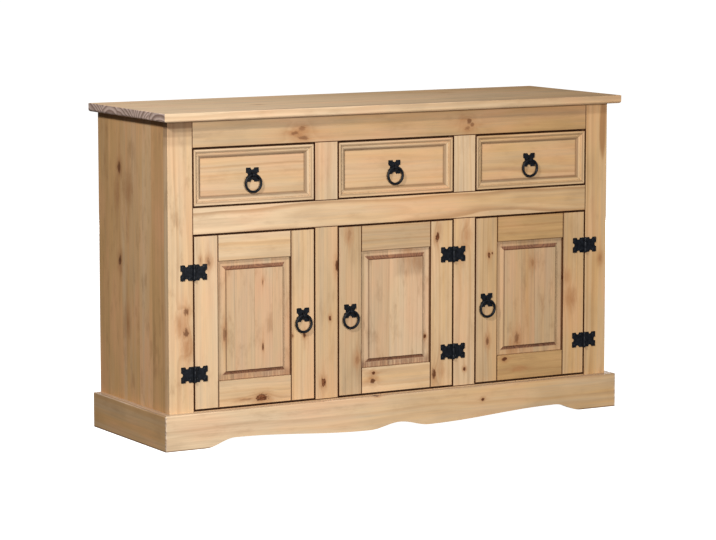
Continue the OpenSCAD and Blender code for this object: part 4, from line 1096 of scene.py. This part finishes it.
# %% Nuts behind the pulls
NUT = [(0, -0.2, 0), (8.0, -0.2, 0), (8.0, 1.0, 0), (7.6, 1.3, 0), (5.9, 1.3, 1), (5.9, 4.6, 1),
       (5.1, 5.3, 0), (2.6, 5.3, 0), (2.5, 5.3, 0), (2.5, 7.2, 0), (2.0, 7.8, 0), (0, 7.9, 0)]
nut = revolved(millimetres(NUT), 36)
for bay in BAYS:
    for leaf, back in (("_door", DOOR_BACK_Y), ("_drawer", span(bay + "_drawer_front", 1)[1])):
        board, pull = bay + leaf, bay + leaf + "_plate"
        behind = middle(pull, 0), back, middle(pull, 2)
        piece(board + "_pull_nut", [placed(nut, BACKWARD, [behind])], board, *ZINC)

# %% [markdown]
# ## Strike plates
#
# The magnet of each catch grips a thin steel plate on the back of the door. It is a rectangle
# with well rounded corners and slightly turned edges, held by two small screws. Its outline is a
# superellipse, |x / a|^6 + |z / b|^6 = 1, which is how one gets a soft rectangle from a formula.
# The surface is made of ever smaller copies of that outline, each a little higher, up to the
# middle.

# %% Strike plates
STRIKE_HALF = (15 * MM, 6.5 * MM)
STRIKE_T = 1.0 * MM
STRIKE_DOWN = 8.5 * MM
STRIKE_SCREW = 9 * MM


def soft_plate(half_wide, half_high, thick, around=48):
    """Rings of the outline x = a sgn(cos t) |cos t|^(1/3), y = b sgn(sin t) |sin t|^(1/3), each
    scaled by its share and lifted to its height, from the under side's middle to the top's."""
    t = turns(around) + math.pi / around
    x = half_wide * np.sign(np.cos(t)) * abs(np.cos(t)) ** (1 / 3)
    y = half_high * np.sign(np.sin(t)) * abs(np.sin(t)) ** (1 / 3)
    share = np.array([0, 1, 1, 0.985, 0.95, 0.6, 0])[:, None]
    under = -0.2 * MM
    height = np.array([under, under, 0.7 * thick, 0.93 * thick, thick, thick, thick])[:, None]
    height = np.broadcast_to(height, (len(share), around))
    points = np.stack([share * x, share * y, height], axis=-1)
    return points.reshape(-1, 3), skin(len(share), around)


strike_head = screw_head(2.2 * MM, 0.25 * MM)
plate = soft_plate(*STRIKE_HALF, STRIKE_T)
for bay in BAYS:
    door = bay + "_door"
    x, z = middle(door + "_plate", 0), span(door + "_stiles", 2)[1] - STRIKE_DOWN
    screws = [(x + s * STRIKE_SCREW, DOOR_BACK_Y + STRIKE_T, z) for s in (-1, 1)]
    parts = [placed(plate, BACKWARD, [(x, DOOR_BACK_Y, z)]), placed(strike_head, BACKWARD, screws)]
    piece(door + "_strike_plate", parts, door, *ZINC)

# %% [markdown]
# ## Nails in the back
#
# The back boards are nailed to three rails, two nails to a board at each rail so that the board
# can't cup. That makes 72 nails, so each has only a few dozen faces: a low dome that dips into
# the wood at its rim.

# %% Nails in the back
NAIL = [(0, 0.55, 0), (1.4, 0.45, 0), (2.3, 0.2, 0), (2.6, -0.1, 0), (2.6, -0.5, 0),
        (0, -0.5, 0)]
NAIL_SHARE = 0.28
BACK_RAIL_Z = (48 * MM, 562 * MM, 766 * MM)
board_w = back_edges[1] - back_edges[0]
nails = [((left + right) / 2 + s * NAIL_SHARE * board_w, BACK_Y, z) for z in BACK_RAIL_Z
         for left, right in zip(back_edges, back_edges[1:]) for s in (-1, 1)]
nail = revolved(millimetres(NAIL), 10)
piece("back_nails", [placed(nail, BACKWARD, nails)], "carcass", *ZINC)
print(len(nails), "nails")

# %% [markdown]
# ## The camera
#
# The camera's place was worked out from forty corners of the sideboard: about 7.7 metres away,
# to the left, looking slightly down through a long lens, which keeps the uprights nearly
# upright.

# %% The camera
CAMERA_PLACE = (-3.7965, -6.5708, 1.3511)
CAMERA_YAW = 0.5233
CAMERA_PITCH = 0.1272
FOCAL_PIXELS = 2980.05
PICTURE_WIDTH = 716

camera = bpy.data.cameras.new("camera")
camera.sensor_width = 36.0
camera.lens = FOCAL_PIXELS / PICTURE_WIDTH * camera.sensor_width
camera.clip_end = 200.0
tripod = bpy.data.objects.new("camera", camera)
tripod.location = CAMERA_PLACE
tripod.rotation_euler = (math.pi / 2 - CAMERA_PITCH, 0.0, -CAMERA_YAW)
bpy.context.scene.collection.objects.link(tripod)
bpy.context.scene.camera = tripod
bpy.context.scene.view_settings.view_transform = "Standard"
print("camera", round(math.hypot(*CAMERA_PLACE), 2), "m away, lens", round(camera.lens), "mm")

# %% [markdown]
# ## The floor
#
# The floor is pale and plain, and runs on until its edge is out of sight. A floor of plain paint
# would turn grey where no lamp reaches, so this one glows just enough to look white. Its glow
# would light the wood from below, so the floor is hidden from light that bounces off the wood.

# %% The floor
corner = 60.0
floor_mesh = bpy.data.meshes.new("floor")
floor_mesh.from_pydata([(-corner, -corner, 0), (corner, -corner, 0), (corner, corner, 0),
                        (-corner, corner, 0)], [], [(0, 1, 2, 3)])
floor = bpy.data.objects.new("floor", floor_mesh)
bpy.context.scene.collection.objects.link(floor)
floor.visible_diffuse = False
floor.visible_glossy = False
pale = bpy.data.materials.new("pale floor")
pale.use_nodes = True
paint = pale.node_tree.nodes["Principled BSDF"].inputs
paint["Base Color"].default_value = (0.6, 0.6, 0.6, 1)
paint["Roughness"].default_value = 0.9
paint["Specular IOR Level"].default_value = 0.0
paint["Emission Color"].default_value = (1, 1, 1, 1)
paint["Emission Strength"].default_value = 1.0
floor_mesh.materials.append(pale)
print("the floor is", 2 * corner, "m wide")

# %% [markdown]
# ## The light
#
# A small lamp high at the left throws the shadow under the top board. A wide one in front fills
# the fronts evenly, a low one stands behind at the right, and one above gives the top its sheen.
# A white room all round fills the rest. The camera sees the room brighter than it shines, so the
# background is white while the wood keeps its colour.

# %% The light
ROOM_SHINES, ROOM_SEEN = 0.12, 1.1


def soft_light(name, place, aim, size, power):
    """A lamp at place that looks at aim, with its width and height and its power in watts."""
    light = bpy.data.lights.new(name, "AREA")
    light.shape = "RECTANGLE"
    light.size, light.size_y = size
    light.energy = power
    lamp = bpy.data.objects.new(name, light)
    lamp.location = place
    way = np.array(aim) - np.array(place)
    lamp.rotation_euler = (math.acos(-way[2] / np.linalg.norm(way)), 0.0,
                           math.atan2(way[1], way[0]) - math.pi / 2)
    lamp.visible_camera = False
    bpy.context.scene.collection.objects.link(lamp)
    print(name, "of", power, "W")


soft_light("side light", (-3.4, -2.5, 2.95), (-0.2, -0.1, 0.5), (0.35, 0.35), 128.0)
soft_light("front light", (-0.7, -4.0, 1.0), (0.0, -0.1, 0.4), (1.8, 1.5), 118.0)
soft_light("back light", (2.6, 4.0, 0.5), (0.0, 0.0, 0.4), (2.4, 0.5), 110.0)
soft_light("top light", (-0.3, 0.7, 2.4), (0.0, 0.0, 0.8), (1.2, 1.0), 17.0)

world = bpy.data.worlds.new("white room")
world.use_nodes = True
air = world.node_tree
seen = air.nodes.new("ShaderNodeLightPath").outputs["Is Camera Ray"]
strength = air.nodes.new("ShaderNodeMapRange")
strength.inputs["To Min"].default_value = ROOM_SHINES
strength.inputs["To Max"].default_value = ROOM_SEEN
air.links.new(seen, strength.inputs["Value"])
air.nodes["Background"].inputs["Color"].default_value = (1, 1, 1, 1)
air.links.new(strength.outputs[0], air.nodes["Background"].inputs["Strength"])
bpy.context.scene.world = world
